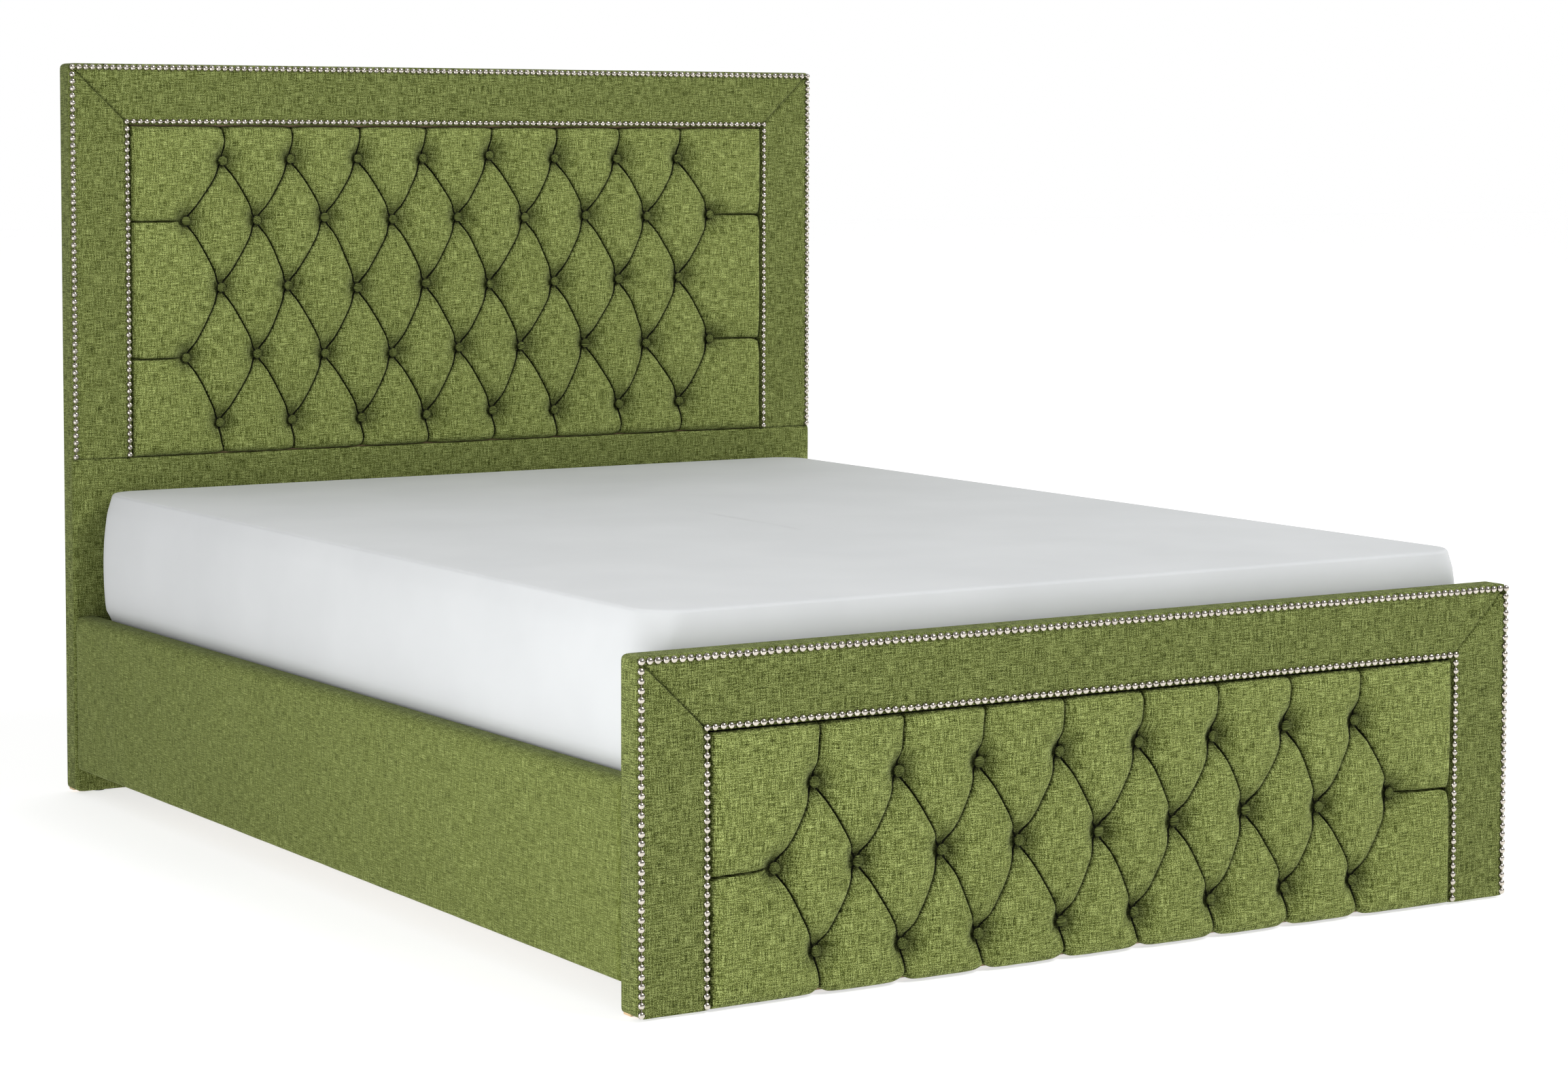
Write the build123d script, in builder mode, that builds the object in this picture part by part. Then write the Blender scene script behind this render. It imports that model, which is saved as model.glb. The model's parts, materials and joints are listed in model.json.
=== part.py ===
"""Upholstered double bed with a tufted headboard and footboard, a slatted base and a mattress.

Millimetres. +Z is up, the foot end is at -Y, the head end at +Y, and Z = 0 is the floor.
The bed is symmetric about the plane X = 0.
"""

import os
from dataclasses import dataclass
from math import asin, cos, sin

from build123d import *

os.makedirs("parts", exist_ok=True)

# ---- driving dimensions ------------------------------------------------------------------------

MATTRESS_WIDTH = 1500.0
MATTRESS_LENGTH = 2000.0
MATTRESS_TOP = 557.0

HALF_WIDTH = 800.0  # over the cloth of the panels and the rails
HEADBOARD_FRONT = 1012.0  # Y of the flat front of the border
FOOTBOARD_FRONT = -1050.0
HEADBOARD_TOP = 1341.0
FOOTBOARD_TOP = 504.0

# both panels are layered from front to back: padding, board, timber frame, back cover
PADDING = 24.0
BOARD = 4.0
FRAME = 16.0
BACK_COVER = 2.0
CROWN = 8.0  # how far a tufted pad stands in front of the border
WRAP = 4.0  # padded cloth that wraps round the panel's edges
PANEL_THICKNESS = PADDING + BOARD + FRAME + BACK_COVER
CLOTH_BOTTOM = 4.0  # the glides lift the panels this far

BORDER_SIDE = 118.0  # width of the flat border beside each tufted pad
BORDER_TOP = 112.0  # and of the border above it
LOWER_SEAM = 616.0  # where the headboard's lower pad begins
PAD_GAP = 2.0  # groove round a tufted pad
EDGE_ROUND = 5.0
CUT_PAST = 1.0  # how far a drilled or cut hole runs past the material

BUTTON_RADIUS = 8.5
BUTTON_PITCH = 142.0
BUTTON_SINK = 15.0  # top of a button behind the border's front
BUTTON_DEPTH = 6.0
BUTTON_RIM = 2.0  # height of the bevelled rim under the dome
DIMPLE_MOUTH = 33.0  # radius of a dimple at the front of the pad
DIMPLE_MARGIN = 1.0  # gap round a button at the bottom of its dimple
TWINE_RADIUS = 1.2
TWINE_HOLE = 1.5
WASHER_RADIUS = 6.0
WASHER_DEPTH = 1.5

NAIL_RADIUS = 5.5
NAIL_RISE = 3.6
NAIL_PITCH = 13.0
NAIL_BAND = (4.0, 0.8)  # width and thickness of the strip that joins the nail heads
NAIL_INSET = 7.0
NAIL_EDGE_GAP = 1.0  # between the inner nails and the groove round the pad

RAIL_BOTTOM = 47.0
RAIL_TOP = 330.0
RAIL_THICKNESS = 40.0
RAIL_PADDING = (10.0, 2.0, 8.0, 4.0)  # outside, inside, top and bottom of the rail's board
RAIL_ROUND = 16.0
RAIL_END_GAP = 1.0
LEDGER_SCREW_PITCH = 350.0
LEDGER_SCREW_COUNT = 6

POST_WIDTH = 100.0
TOP_RAIL_HEIGHT = 80.0
MID_RAIL = (585.0, 645.0)
BOTTOM_RAIL = (195.0, 285.0)

BRACKET_LEG = 60.0
BRACKET_THICKNESS = 4.0
BRACKET_SPAN = (90.0, 210.0)
BRACKET_HOLE_INSET = 35.0
BRACKET_HOLE_FROM_END = 30.0
BOLT_RADIUS = 4.0
BOLT_HOLE = 4.2
BOLT_HEAD = (7.0, 5.0)  # radius and height
BOLT_IN_PANEL_FRAME = 14.0
FOOT_BOLT_IN_FRAME = 12.0
BOLT_IN_RAIL = 24.0

SCREW_RADIUS = 2.5
SCREW_HOLE = 2.6
SCREW_LENGTH = 50.0
SCREW_HEAD = (4.5, 2.5)

LEDGER = 30.0  # square
LEDGER_BOTTOM = 222.0
BEAM_WIDTH = 60.0
BEAM_HEIGHT = 40.0
BEAM_END_GAP = 4.0
HANGER = 2.0  # steel thickness
HANGER_DEPTH = 40.0
HANGER_FLANGE = 50.0  # half width of the plate on the panel
HANGER_SCREW_X = 42.0
HANGER_SCREW_UP = 18.0  # above the beam's underside
HANGER_BELOW_BEAM_TOP = 6.0
HANGER_SCREW_IN_FRAME = 10.0

LEG_WIDTH = 50.0
LEG_CHAMFER = 3.0
LEG_BOTTOM = 30.0
LEG_SPACING = 670.0
LEG_BOLT_LENGTH = 60.0
INSERT_RADIUS = 8.0
INSERT_LENGTH = 20.0
STUD_RADIUS = 5.0
STUD_CLEARANCE = 0.06
STUD_TOP = 62.0
STUD_CHAMFER = 1.0
BORE_TOP = 80.0
FOOT_RADIUS = 22.5
FOOT_HEIGHT = 8.0
FOOT_CHAMFER = 3.0
GLIDE_RADIUS = 12.0
GLIDE_CHAMFER = 0.8

SLAT_WIDTH = 53.0
SLAT_THICKNESS = 8.0
SLAT_RISE = 12.0
SLATS_PER_SIDE = 14
SLAT_INNER = 7.0
SLAT_OUTER = 744.0
SLAT_END_ROOM = 40.0  # length of the mattress left over beside the slats
HOLDER_LENGTH = 60.0
HOLDER_HEIGHT = 17.0
HOLDER_FLOOR = 4.0
HOLDER_POCKET = 10.5
HOLDER_WALL = 10.0
HOLDER_STOP = 2.0  # gap between a slat's end and the bottom of its pocket
POCKET_DEPTH = 20.0
FIT = 0.3  # clearance between pieces that are put together by hand

MATTRESS_CORNER = 60.0
MATTRESS_EDGE = 22.0
COVER_THICKNESS = 3.0
COVER_FLANGE = 60.0

# ---- worked out from the above -----------------------------------------------------------------

INNER_X = HALF_WIDTH - BORDER_SIDE
FRAME_X = HALF_WIDTH - WRAP
POST_INNER_X = FRAME_X - POST_WIDTH
RAIL_INNER_X = HALF_WIDTH - RAIL_THICKNESS
FOOTBOARD_BACK = FOOTBOARD_FRONT + PANEL_THICKNESS
LEDGER_TOP = LEDGER_BOTTOM + LEDGER
BEAM_BOTTOM = LEDGER_TOP - BEAM_HEIGHT
SLAT_BASE = LEDGER_TOP + HOLDER_FLOOR + FIT
SLAT_CROWN = SLAT_BASE + SLAT_RISE + SLAT_THICKNESS
MATTRESS_BOTTOM = SLAT_CROWN + FIT
RAIL_ENDS = (FOOTBOARD_BACK + RAIL_END_GAP, HEADBOARD_FRONT - RAIL_END_GAP)
LEG_ROWS = {"foot": -LEG_SPACING, "middle": 0.0, "head": LEG_SPACING}
SIDES = {"left": -1, "right": 1}


@dataclass
class Panel:
    """A headboard or footboard, given by what differs between the two."""

    name: str
    front: float
    top: float
    pad_bottom: float
    button_rows: list  # (height, number of buttons)

    @property
    def board(self):
        return self.front + PADDING

    @property
    def frame(self):
        return self.board + BOARD

    @property
    def back(self):
        return self.frame + FRAME

    @property
    def pad_top(self):
        return self.top - BORDER_TOP

    def buttons(self):
        """X and Z of every button, row by row."""
        return [
            ((i - (count - 1) / 2) * BUTTON_PITCH, z)
            for z, count in self.button_rows
            for i in range(count)
        ]


HEADBOARD = Panel(
    name="headboard",
    front=HEADBOARD_FRONT,
    top=HEADBOARD_TOP,
    pad_bottom=LOWER_SEAM,
    button_rows=[(1168, 8), (1052, 9), (925, 8), (799, 9), (675, 8)],
)
FOOTBOARD = Panel(
    name="footboard",
    front=FOOTBOARD_FRONT,
    top=FOOTBOARD_TOP,
    pad_bottom=CLOTH_BOTTOM,
    button_rows=[(307, 8), (184, 9), (58, 8)],
)

# bolts through a corner bracket, as distances from the bracket's corner, and their heights
BOLT_HEIGHTS = (
    BRACKET_SPAN[0] + BRACKET_HOLE_FROM_END,
    BRACKET_SPAN[1] - BRACKET_HOLE_FROM_END,
)
PANEL_BOLTS = [
    (s * (RAIL_INNER_X - BRACKET_HOLE_INSET), z) for s in SIDES.values() for z in BOLT_HEIGHTS
]
RAIL_BOLTS = [
    (y, z)
    for y in (FOOTBOARD_BACK + BRACKET_HOLE_INSET, HEADBOARD_FRONT - BRACKET_HOLE_INSET)
    for z in BOLT_HEIGHTS
]
HANGER_SCREWS = [(s * HANGER_SCREW_X, BEAM_BOTTOM + HANGER_SCREW_UP) for s in SIDES.values()]
LEDGER_SCREWS = [
    ((i - (LEDGER_SCREW_COUNT - 1) / 2) * LEDGER_SCREW_PITCH, LEDGER_BOTTOM + LEDGER / 2)
    for i in range(LEDGER_SCREW_COUNT)
]
SLAT_PITCH = (MATTRESS_LENGTH - SLAT_END_ROOM) / SLATS_PER_SIDE
SLAT_ROWS = [(i - (SLATS_PER_SIDE - 1) / 2) * SLAT_PITCH for i in range(SLATS_PER_SIDE)]


# ---- helpers -----------------------------------------------------------------------------------


def keep(builder, label):
    """Name a finished piece and write it to its own STEP file."""
    builder.part.label = label
    export_step(builder.part, f"parts/{label}.step")


def upright(y):
    """The vertical plane at this Y. A negative extrusion from it runs towards the head end."""
    return Plane.XZ.offset(-y)


def block(x, y, z, mode=Mode.ADD):
    """A box between two values of X, of Y and of Z."""
    with Locations(((x[0] + x[1]) / 2, (y[0] + y[1]) / 2, (z[0] + z[1]) / 2)):
        Box(x[1] - x[0], y[1] - y[0], z[1] - z[0], mode=mode)


def mirrored(side, near, far):
    """A span of X on the left or right side, lowest first."""
    return tuple(sorted((side * near, side * far)))


def dome(radius, rise, front):
    """Half of a domed outline in the XY plane, from its rim to its crown on the Y axis."""
    sphere = (radius**2 + rise**2) / (2 * rise)
    half_angle = asin(radius / sphere) / 2
    middle = (sphere * sin(half_angle), front + sphere * (1 - cos(half_angle)))
    return ThreePointArc((radius, front + rise), middle, (0, front))


def bore_along_y(points, radius, start, end):
    """Drill round holes parallel to Y at these (x, z) points."""
    with Locations(*[(x, (start + end) / 2, z) for x, z in points]):
        Cylinder(radius, abs(end - start), rotation=(90, 0, 0), mode=Mode.SUBTRACT)


def bore_along_x(points, radius, start, end):
    """Drill round holes parallel to X at these (y, z) points."""
    with Locations(*[((start + end) / 2, y, z) for y, z in points]):
        Cylinder(radius, abs(end - start), rotation=(0, 90, 0), mode=Mode.SUBTRACT)


def fixings_through(panel):
    """Drill a panel layer for the bracket bolts and the hanger screws."""
    if panel is HEADBOARD:
        start = panel.front - CUT_PAST
        end = panel.frame + BOLT_IN_PANEL_FRAME + CUT_PAST
    else:
        start = panel.back - BOLT_IN_PANEL_FRAME - CUT_PAST
        end = panel.back + BACK_COVER + CUT_PAST
    bore_along_y(PANEL_BOLTS, BOLT_HOLE, start, end)
    bore_along_y(HANGER_SCREWS, SCREW_HOLE, start, end)


# ---- headboard and footboard: timber frame -----------------------------------------------------


def post(panel, side_name, side):
    with BuildPart() as piece:
        block(
            mirrored(side, POST_INNER_X, FRAME_X),
            (panel.frame, panel.back),
            (CLOTH_BOTTOM, panel.top - WRAP),
        )
        fixings_through(panel)
    keep(piece, f"{panel.name}_post_{side_name}")


def cross_rail(panel, which, span):
    with BuildPart() as piece:
        block((-POST_INNER_X, POST_INNER_X), (panel.frame, panel.back), span)
        fixings_through(panel)
    keep(piece, f"{panel.name}_{which}_rail")


def front_board(panel):
    with BuildPart() as piece:
        block((-FRAME_X, FRAME_X), (panel.board, panel.frame), (CLOTH_BOTTOM, panel.top - WRAP))
        holes = (panel.board - CUT_PAST, panel.frame + CUT_PAST)
        bore_along_y(panel.buttons(), TWINE_HOLE, *holes)
        if panel is HEADBOARD:
            fixings_through(panel)
    keep(piece, f"{panel.name}_front_board")


def back_cover(panel):
    with BuildPart() as piece:
        block(
            (-HALF_WIDTH, HALF_WIDTH),
            (panel.back, panel.back + BACK_COVER),
            (CLOTH_BOTTOM, panel.top),
        )
        if panel is FOOTBOARD:
            fixings_through(panel)
    keep(piece, f"{panel.name}_back_cover")


def glides(panel):
    y = panel.board + BOARD
    x = (POST_INNER_X + FRAME_X) / 2
    with BuildPart() as piece:
        with BuildSketch():
            with Locations((-x, y), (x, y)):
                Circle(GLIDE_RADIUS)
        extrude(amount=CLOTH_BOTTOM)
        chamfer(piece.faces().sort_by(Axis.Z)[0:2].edges(), GLIDE_CHAMFER)
    keep(piece, f"{panel.name}_glides")


# ---- headboard and footboard: upholstery -------------------------------------------------------


def border_side(panel, side_name, side):
    """Padded strip down one side, mitred at the top, wrapped round the panel's edge."""
    bottom = panel.pad_bottom
    with BuildPart() as piece:
        with BuildSketch(upright(panel.front)):
            with BuildLine():
                Polyline(
                    (side * INNER_X, bottom),
                    (side * HALF_WIDTH, bottom),
                    (side * HALF_WIDTH, panel.top),
                    (side * INNER_X, panel.pad_top),
                    close=True,
                )
            make_face()
        extrude(amount=-PADDING)
        with BuildSketch(upright(panel.board)):
            with BuildLine():
                Polyline(
                    (side * FRAME_X, bottom),
                    (side * HALF_WIDTH, bottom),
                    (side * HALF_WIDTH, panel.top),
                    (side * FRAME_X, panel.top - WRAP),
                    close=True,
                )
            make_face()
        extrude(amount=-(BOARD + FRAME))
        outer = piece.edges().filter_by(Axis.Z).group_by(Axis.Y)[0].sort_by(Axis.X)
        fillet(outer[-1] if side > 0 else outer[0], EDGE_ROUND)
    keep(piece, f"{panel.name}_border_{side_name}")


def border_top(panel):
    """Padded strip along the top between the two mitres, wrapped over the panel's top edge."""
    with BuildPart() as piece:
        with BuildSketch(upright(panel.front)):
            with BuildLine():
                Polyline(
                    (-INNER_X, panel.pad_top),
                    (INNER_X, panel.pad_top),
                    (HALF_WIDTH, panel.top),
                    (-HALF_WIDTH, panel.top),
                    close=True,
                )
            make_face()
        extrude(amount=-PADDING)
        with BuildSketch(upright(panel.board)):
            with BuildLine():
                Polyline(
                    (-FRAME_X, panel.top - WRAP),
                    (FRAME_X, panel.top - WRAP),
                    (HALF_WIDTH, panel.top),
                    (-HALF_WIDTH, panel.top),
                    close=True,
                )
            make_face()
        extrude(amount=-(BOARD + FRAME))
        along = piece.edges().filter_by(Axis.X).group_by(Axis.Y)[0]
        fillet(along.sort_by(Axis.Z)[-1], EDGE_ROUND)
    keep(piece, f"{panel.name}_border_top")


def tufted_pad(panel):
    """Deep pad with a conical dimple at each button and a hole for its twine."""
    rim = INNER_X - PAD_GAP
    low = panel.pad_bottom + (PAD_GAP if panel is HEADBOARD else 0)
    with BuildPart() as piece:
        block(
            (-rim, rim),
            (panel.front - CROWN, panel.board),
            (low, panel.pad_top - PAD_GAP),
        )
        fillet(piece.faces().sort_by(Axis.Y)[0].edges(), 2 * CROWN)
        depth = CROWN + BUTTON_SINK + BUTTON_DEPTH
        centre = panel.front - CROWN + depth / 2
        with Locations(*[(x, centre, z) for x, z in panel.buttons()]):
            Cone(
                BUTTON_RADIUS + DIMPLE_MARGIN,
                DIMPLE_MOUTH,
                depth,
                rotation=(90, 0, 0),
                mode=Mode.SUBTRACT,
            )
        bore_along_y(panel.buttons(), TWINE_HOLE, panel.front, panel.board + CUT_PAST)
    keep(piece, f"{panel.name}_tufted_pad")


def buttons(panel):
    """Domed buttons, each with its twine through the board to a washer behind it."""
    top = panel.front + BUTTON_SINK
    base = top + BUTTON_DEPTH
    washer = panel.frame + WASHER_DEPTH
    with BuildPart() as one:
        with BuildSketch(Plane.XY):
            with BuildLine():
                Polyline(
                    (0, top),
                    (0, washer),
                    (WASHER_RADIUS, washer),
                    (WASHER_RADIUS, panel.frame),
                    (TWINE_RADIUS, panel.frame),
                    (TWINE_RADIUS, base),
                    (BUTTON_RADIUS - BUTTON_RIM / 2, base),
                    (BUTTON_RADIUS, base - BUTTON_RIM),
                )
                dome(BUTTON_RADIUS, BUTTON_DEPTH - BUTTON_RIM, top)
            make_face()
        revolve(axis=Axis.Y)
    with BuildPart() as piece:
        with Locations(*[(x, 0, z) for x, z in panel.buttons()]):
            add(one.part)
    keep(piece, f"{panel.name}_buttons")


def lower_pad():
    """Plain padded part of the headboard below the seam, which the mattress covers."""
    panel = HEADBOARD
    with BuildPart() as piece:
        block(
            (-HALF_WIDTH, HALF_WIDTH),
            (panel.front, panel.board),
            (CLOTH_BOTTOM, LOWER_SEAM),
        )
        for side in SIDES.values():
            block(
                mirrored(side, FRAME_X, HALF_WIDTH),
                (panel.board, panel.back),
                (CLOTH_BOTTOM, LOWER_SEAM),
            )
        front = piece.edges().filter_by(Axis.Z).group_by(Axis.Y)[0]
        fillet(front, EDGE_ROUND)
        fixings_through(panel)
    keep(piece, "headboard_lower_pad")


def nail_run(front, start, end):
    """One strip of nail heads from start to end, both (x, z), joined by a thin band."""
    horizontal = start[1] == end[1]
    length = end[0] - start[0] if horizontal else end[1] - start[1]
    count = round(length / NAIL_PITCH) + 1
    band_width, band_depth = NAIL_BAND
    middle = ((start[0] + end[0]) / 2, (start[1] + end[1]) / 2)
    with BuildPart() as head:
        with BuildSketch(Plane.XY):
            with BuildLine():
                Line((0, front), (NAIL_RADIUS, front))
                dome(NAIL_RADIUS, NAIL_RISE, front - NAIL_RISE)
                Line((0, front - NAIL_RISE), (0, front))
            make_face()
        revolve(axis=Axis.Y)
    with BuildPart() as run:
        with BuildSketch(upright(front)):
            with Locations(middle):
                if horizontal:
                    Rectangle(length, band_width)
                else:
                    Rectangle(band_width, length)
        extrude(amount=band_depth)
        shares = [i / (count - 1) for i in range(count)]
        spots = [
            (start[0] + t * (end[0] - start[0]), 0, start[1] + t * (end[1] - start[1]))
            for t in shares
        ]
        with Locations(*spots):
            add(head.part)
    return run.part


def nail_trim(panel, which, x, top, bottom):
    """Three strips: up the left side, along the top and down the right side."""
    below = top - NAIL_PITCH
    runs = [
        nail_run(panel.front, (-x, bottom), (-x, below)),
        nail_run(panel.front, (-x, top), (x, top)),
        nail_run(panel.front, (x, bottom), (x, below)),
    ]
    with BuildPart() as piece:
        for run in runs:
            add(run)
    keep(piece, f"{panel.name}_{which}_nail_trim")


# ---- side rails --------------------------------------------------------------------------------


def rail_board_span(side):
    outside, inside, top, bottom = RAIL_PADDING
    x = mirrored(side, RAIL_INNER_X + inside, HALF_WIDTH - outside)
    return x, (RAIL_BOTTOM + bottom, RAIL_TOP - top)


def rail_fixings(side):
    """Drill for the bracket bolts and the ledger screws, from the rail's inner face."""
    start = side * (RAIL_INNER_X - CUT_PAST)
    bolt_end = side * (RAIL_INNER_X + BOLT_IN_RAIL + CUT_PAST)
    screw_end = side * (RAIL_INNER_X - LEDGER + SCREW_LENGTH + CUT_PAST)
    bore_along_x(RAIL_BOLTS, BOLT_HOLE, start, bolt_end)
    bore_along_x(LEDGER_SCREWS, SCREW_HOLE, start, screw_end)


def side_rail_board(side_name, side):
    x, z = rail_board_span(side)
    with BuildPart() as piece:
        block(x, RAIL_ENDS, z)
        rail_fixings(side)
    keep(piece, f"side_rail_{side_name}_board")


def side_rail_cover(side_name, side):
    """Padded cloth all round the rail's board, with a soft top outer edge."""
    x, z = rail_board_span(side)
    with BuildPart() as piece:
        block(mirrored(side, RAIL_INNER_X, HALF_WIDTH), RAIL_ENDS, (RAIL_BOTTOM, RAIL_TOP))
        corners = piece.edges().filter_by(Axis.Y).group_by(Axis.Z)
        top = corners[-1].sort_by(Axis.X)
        bottom = corners[0].sort_by(Axis.X)
        outermost = -1 if side > 0 else 0
        fillet(top[outermost], RAIL_ROUND)
        fillet(bottom[outermost], EDGE_ROUND)
        block(x, RAIL_ENDS, z, mode=Mode.SUBTRACT)
        rail_fixings(side)
    keep(piece, f"side_rail_{side_name}_cover")


def ledger(side_name, side):
    ends = (RAIL_ENDS[0] + FIT, RAIL_ENDS[1] - FIT)
    inner = RAIL_INNER_X - LEDGER
    head_radius, head_height = SCREW_HEAD
    start = side * (inner - CUT_PAST)
    with BuildPart() as piece:
        block(mirrored(side, inner, RAIL_INNER_X), ends, (LEDGER_BOTTOM, LEDGER_TOP))
        bore_along_x(LEDGER_SCREWS, SCREW_HOLE, start, side * (RAIL_INNER_X + CUT_PAST))
        bore_along_x(LEDGER_SCREWS, head_radius + FIT, start, side * (inner + head_height))
    keep(piece, f"ledger_{side_name}")


# ---- brackets, hangers and fasteners -----------------------------------------------------------


def corner_bracket(end_name, side_name, side):
    """Steel angle between a side rail and a panel."""
    face, inward = (HEADBOARD_FRONT, -1) if end_name == "head" else (FOOTBOARD_BACK, 1)
    on_rail = tuple(sorted((face, face + inward * BRACKET_LEG)))
    on_panel = tuple(sorted((face, face + inward * BRACKET_THICKNESS)))
    inner = RAIL_INNER_X - BRACKET_THICKNESS
    with BuildPart() as piece:
        block(mirrored(side, inner, RAIL_INNER_X), on_rail, BRACKET_SPAN)
        block(mirrored(side, RAIL_INNER_X - BRACKET_LEG, RAIL_INNER_X), on_panel, BRACKET_SPAN)
        start, end = side * (inner - CUT_PAST), side * (RAIL_INNER_X + CUT_PAST)
        bore_along_x(RAIL_BOLTS, BOLT_HOLE, start, end)
        bore_along_y(PANEL_BOLTS, BOLT_HOLE, on_panel[0] - CUT_PAST, on_panel[1] + CUT_PAST)
    keep(piece, f"corner_bracket_{end_name}_{side_name}")


def fastener(radius, length, head):
    """A fastener that points along +Z, with the underside of its head at the origin."""
    head_radius, head_height = head
    with BuildPart() as piece:
        with BuildSketch():
            Circle(radius)
        extrude(amount=length)
        with BuildSketch():
            Circle(head_radius)
        extrude(amount=-head_height)
        chamfer(piece.faces().sort_by(Axis.Z)[0].edges(), 0.25 * head_height)
    return piece.part


def frame_bolts():
    """Bolts of the corner brackets: two into the panel and two into the rail at each corner."""
    head_length = BRACKET_THICKNESS + PADDING + BOARD + BOLT_IN_PANEL_FRAME
    foot_length = BRACKET_THICKNESS + BACK_COVER + FOOT_BOLT_IN_FRAME
    head_bolt = fastener(BOLT_RADIUS, head_length, BOLT_HEAD)
    foot_bolt = fastener(BOLT_RADIUS, foot_length, BOLT_HEAD)
    rail_bolt = fastener(BOLT_RADIUS, BRACKET_THICKNESS + BOLT_IN_RAIL, BOLT_HEAD)
    inner = RAIL_INNER_X - BRACKET_THICKNESS
    with BuildPart() as piece:
        for x, z in PANEL_BOLTS:
            with Locations(Location((x, HEADBOARD_FRONT - BRACKET_THICKNESS, z), (-90, 0, 0))):
                add(head_bolt)
            with Locations(Location((x, FOOTBOARD_BACK + BRACKET_THICKNESS, z), (90, 0, 0))):
                add(foot_bolt)
        for side in SIDES.values():
            for y, z in RAIL_BOLTS:
                with Locations(Location((side * inner, y, z), (0, side * 90, 0))):
                    add(rail_bolt)
    keep(piece, "frame_bolts")


def frame_screws():
    """Countersunk screws of the ledgers, and those of the centre beam's hangers."""
    head_height = SCREW_HEAD[1]
    in_frame = HANGER + HANGER_SCREW_IN_FRAME
    ledger_screw = fastener(SCREW_RADIUS, SCREW_LENGTH - head_height, SCREW_HEAD)
    head_screw = fastener(SCREW_RADIUS, in_frame + PADDING + BOARD, SCREW_HEAD)
    foot_screw = fastener(SCREW_RADIUS, in_frame + BACK_COVER, SCREW_HEAD)
    ledger_face = RAIL_INNER_X - LEDGER + head_height
    with BuildPart() as piece:
        for side in SIDES.values():
            for y, z in LEDGER_SCREWS:
                with Locations(Location((side * ledger_face, y, z), (0, side * 90, 0))):
                    add(ledger_screw)
        for x, z in HANGER_SCREWS:
            with Locations(Location((x, HEADBOARD_FRONT - HANGER, z), (-90, 0, 0))):
                add(head_screw)
            with Locations(Location((x, FOOTBOARD_BACK + HANGER, z), (90, 0, 0))):
                add(foot_screw)
    keep(piece, "frame_screws")


def beam_hanger(end_name):
    """Folded steel stirrup that holds one end of the centre beam."""
    face, inward = (HEADBOARD_FRONT, -1) if end_name == "head" else (FOOTBOARD_BACK, 1)
    plate = tuple(sorted((face, face + inward * HANGER)))
    stirrup = tuple(sorted((face, face + inward * HANGER_DEPTH)))
    cheek = BEAM_WIDTH / 2 + FIT
    height = (BEAM_BOTTOM - HANGER, LEDGER_TOP - HANGER_BELOW_BEAM_TOP)
    with BuildPart() as piece:
        block((-HANGER_FLANGE, HANGER_FLANGE), plate, height)
        block((-cheek - HANGER, cheek + HANGER), stirrup, (height[0], BEAM_BOTTOM))
        for side in SIDES.values():
            block(mirrored(side, cheek, cheek + HANGER), stirrup, height)
        bore_along_y(HANGER_SCREWS, SCREW_HOLE, plate[0] - CUT_PAST, plate[1] + CUT_PAST)
    keep(piece, f"beam_hanger_{end_name}")


# ---- centre beam, legs and levelling feet ------------------------------------------------------


def centre_beam():
    ends = (FOOTBOARD_BACK + BEAM_END_GAP, HEADBOARD_FRONT - BEAM_END_GAP)
    bolt_top = BEAM_BOTTOM + LEG_BOLT_LENGTH / 2
    with BuildPart() as piece:
        block((-BEAM_WIDTH / 2, BEAM_WIDTH / 2), ends, (BEAM_BOTTOM, LEDGER_TOP))
        with Locations(*[(0, y, (BEAM_BOTTOM + bolt_top) / 2) for y in LEG_ROWS.values()]):
            Cylinder(BOLT_HOLE, bolt_top - BEAM_BOTTOM + FIT, mode=Mode.SUBTRACT)
    keep(piece, "centre_beam")


def centre_leg(name, y):
    half = LEG_WIDTH / 2
    bolt_bottom = BEAM_BOTTOM - LEG_BOLT_LENGTH / 2
    with BuildPart() as piece:
        block((-half, half), (y - half, y + half), (LEG_BOTTOM, BEAM_BOTTOM))
        chamfer(piece.edges().filter_by(Axis.Z), LEG_CHAMFER)
        with Locations((0, y, (LEG_BOTTOM + BORE_TOP) / 2)):
            Cylinder(STUD_RADIUS + FIT, BORE_TOP - LEG_BOTTOM, mode=Mode.SUBTRACT)
        with Locations((0, y, LEG_BOTTOM + INSERT_LENGTH / 2)):
            Cylinder(INSERT_RADIUS, INSERT_LENGTH, mode=Mode.SUBTRACT)
        with Locations((0, y, (bolt_bottom + BEAM_BOTTOM) / 2)):
            Cylinder(BOLT_HOLE, BEAM_BOTTOM - bolt_bottom + FIT, mode=Mode.SUBTRACT)
    keep(piece, f"centre_leg_{name}")


def leg_bolts():
    """Double-ended bolts that join the legs to the beam."""
    with BuildPart() as piece:
        with Locations(*[(0, y, BEAM_BOTTOM) for y in LEG_ROWS.values()]):
            Cylinder(BOLT_RADIUS, LEG_BOLT_LENGTH)
    keep(piece, "leg_bolts")


def leg_inserts():
    """Threaded inserts in the bottom of the legs."""
    with BuildPart() as piece:
        with Locations(*[(0, y, LEG_BOTTOM + INSERT_LENGTH / 2) for y in LEG_ROWS.values()]):
            Cylinder(INSERT_RADIUS, INSERT_LENGTH)
            Cylinder(STUD_RADIUS + STUD_CLEARANCE, INSERT_LENGTH, mode=Mode.SUBTRACT)
    keep(piece, "leg_inserts")


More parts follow.
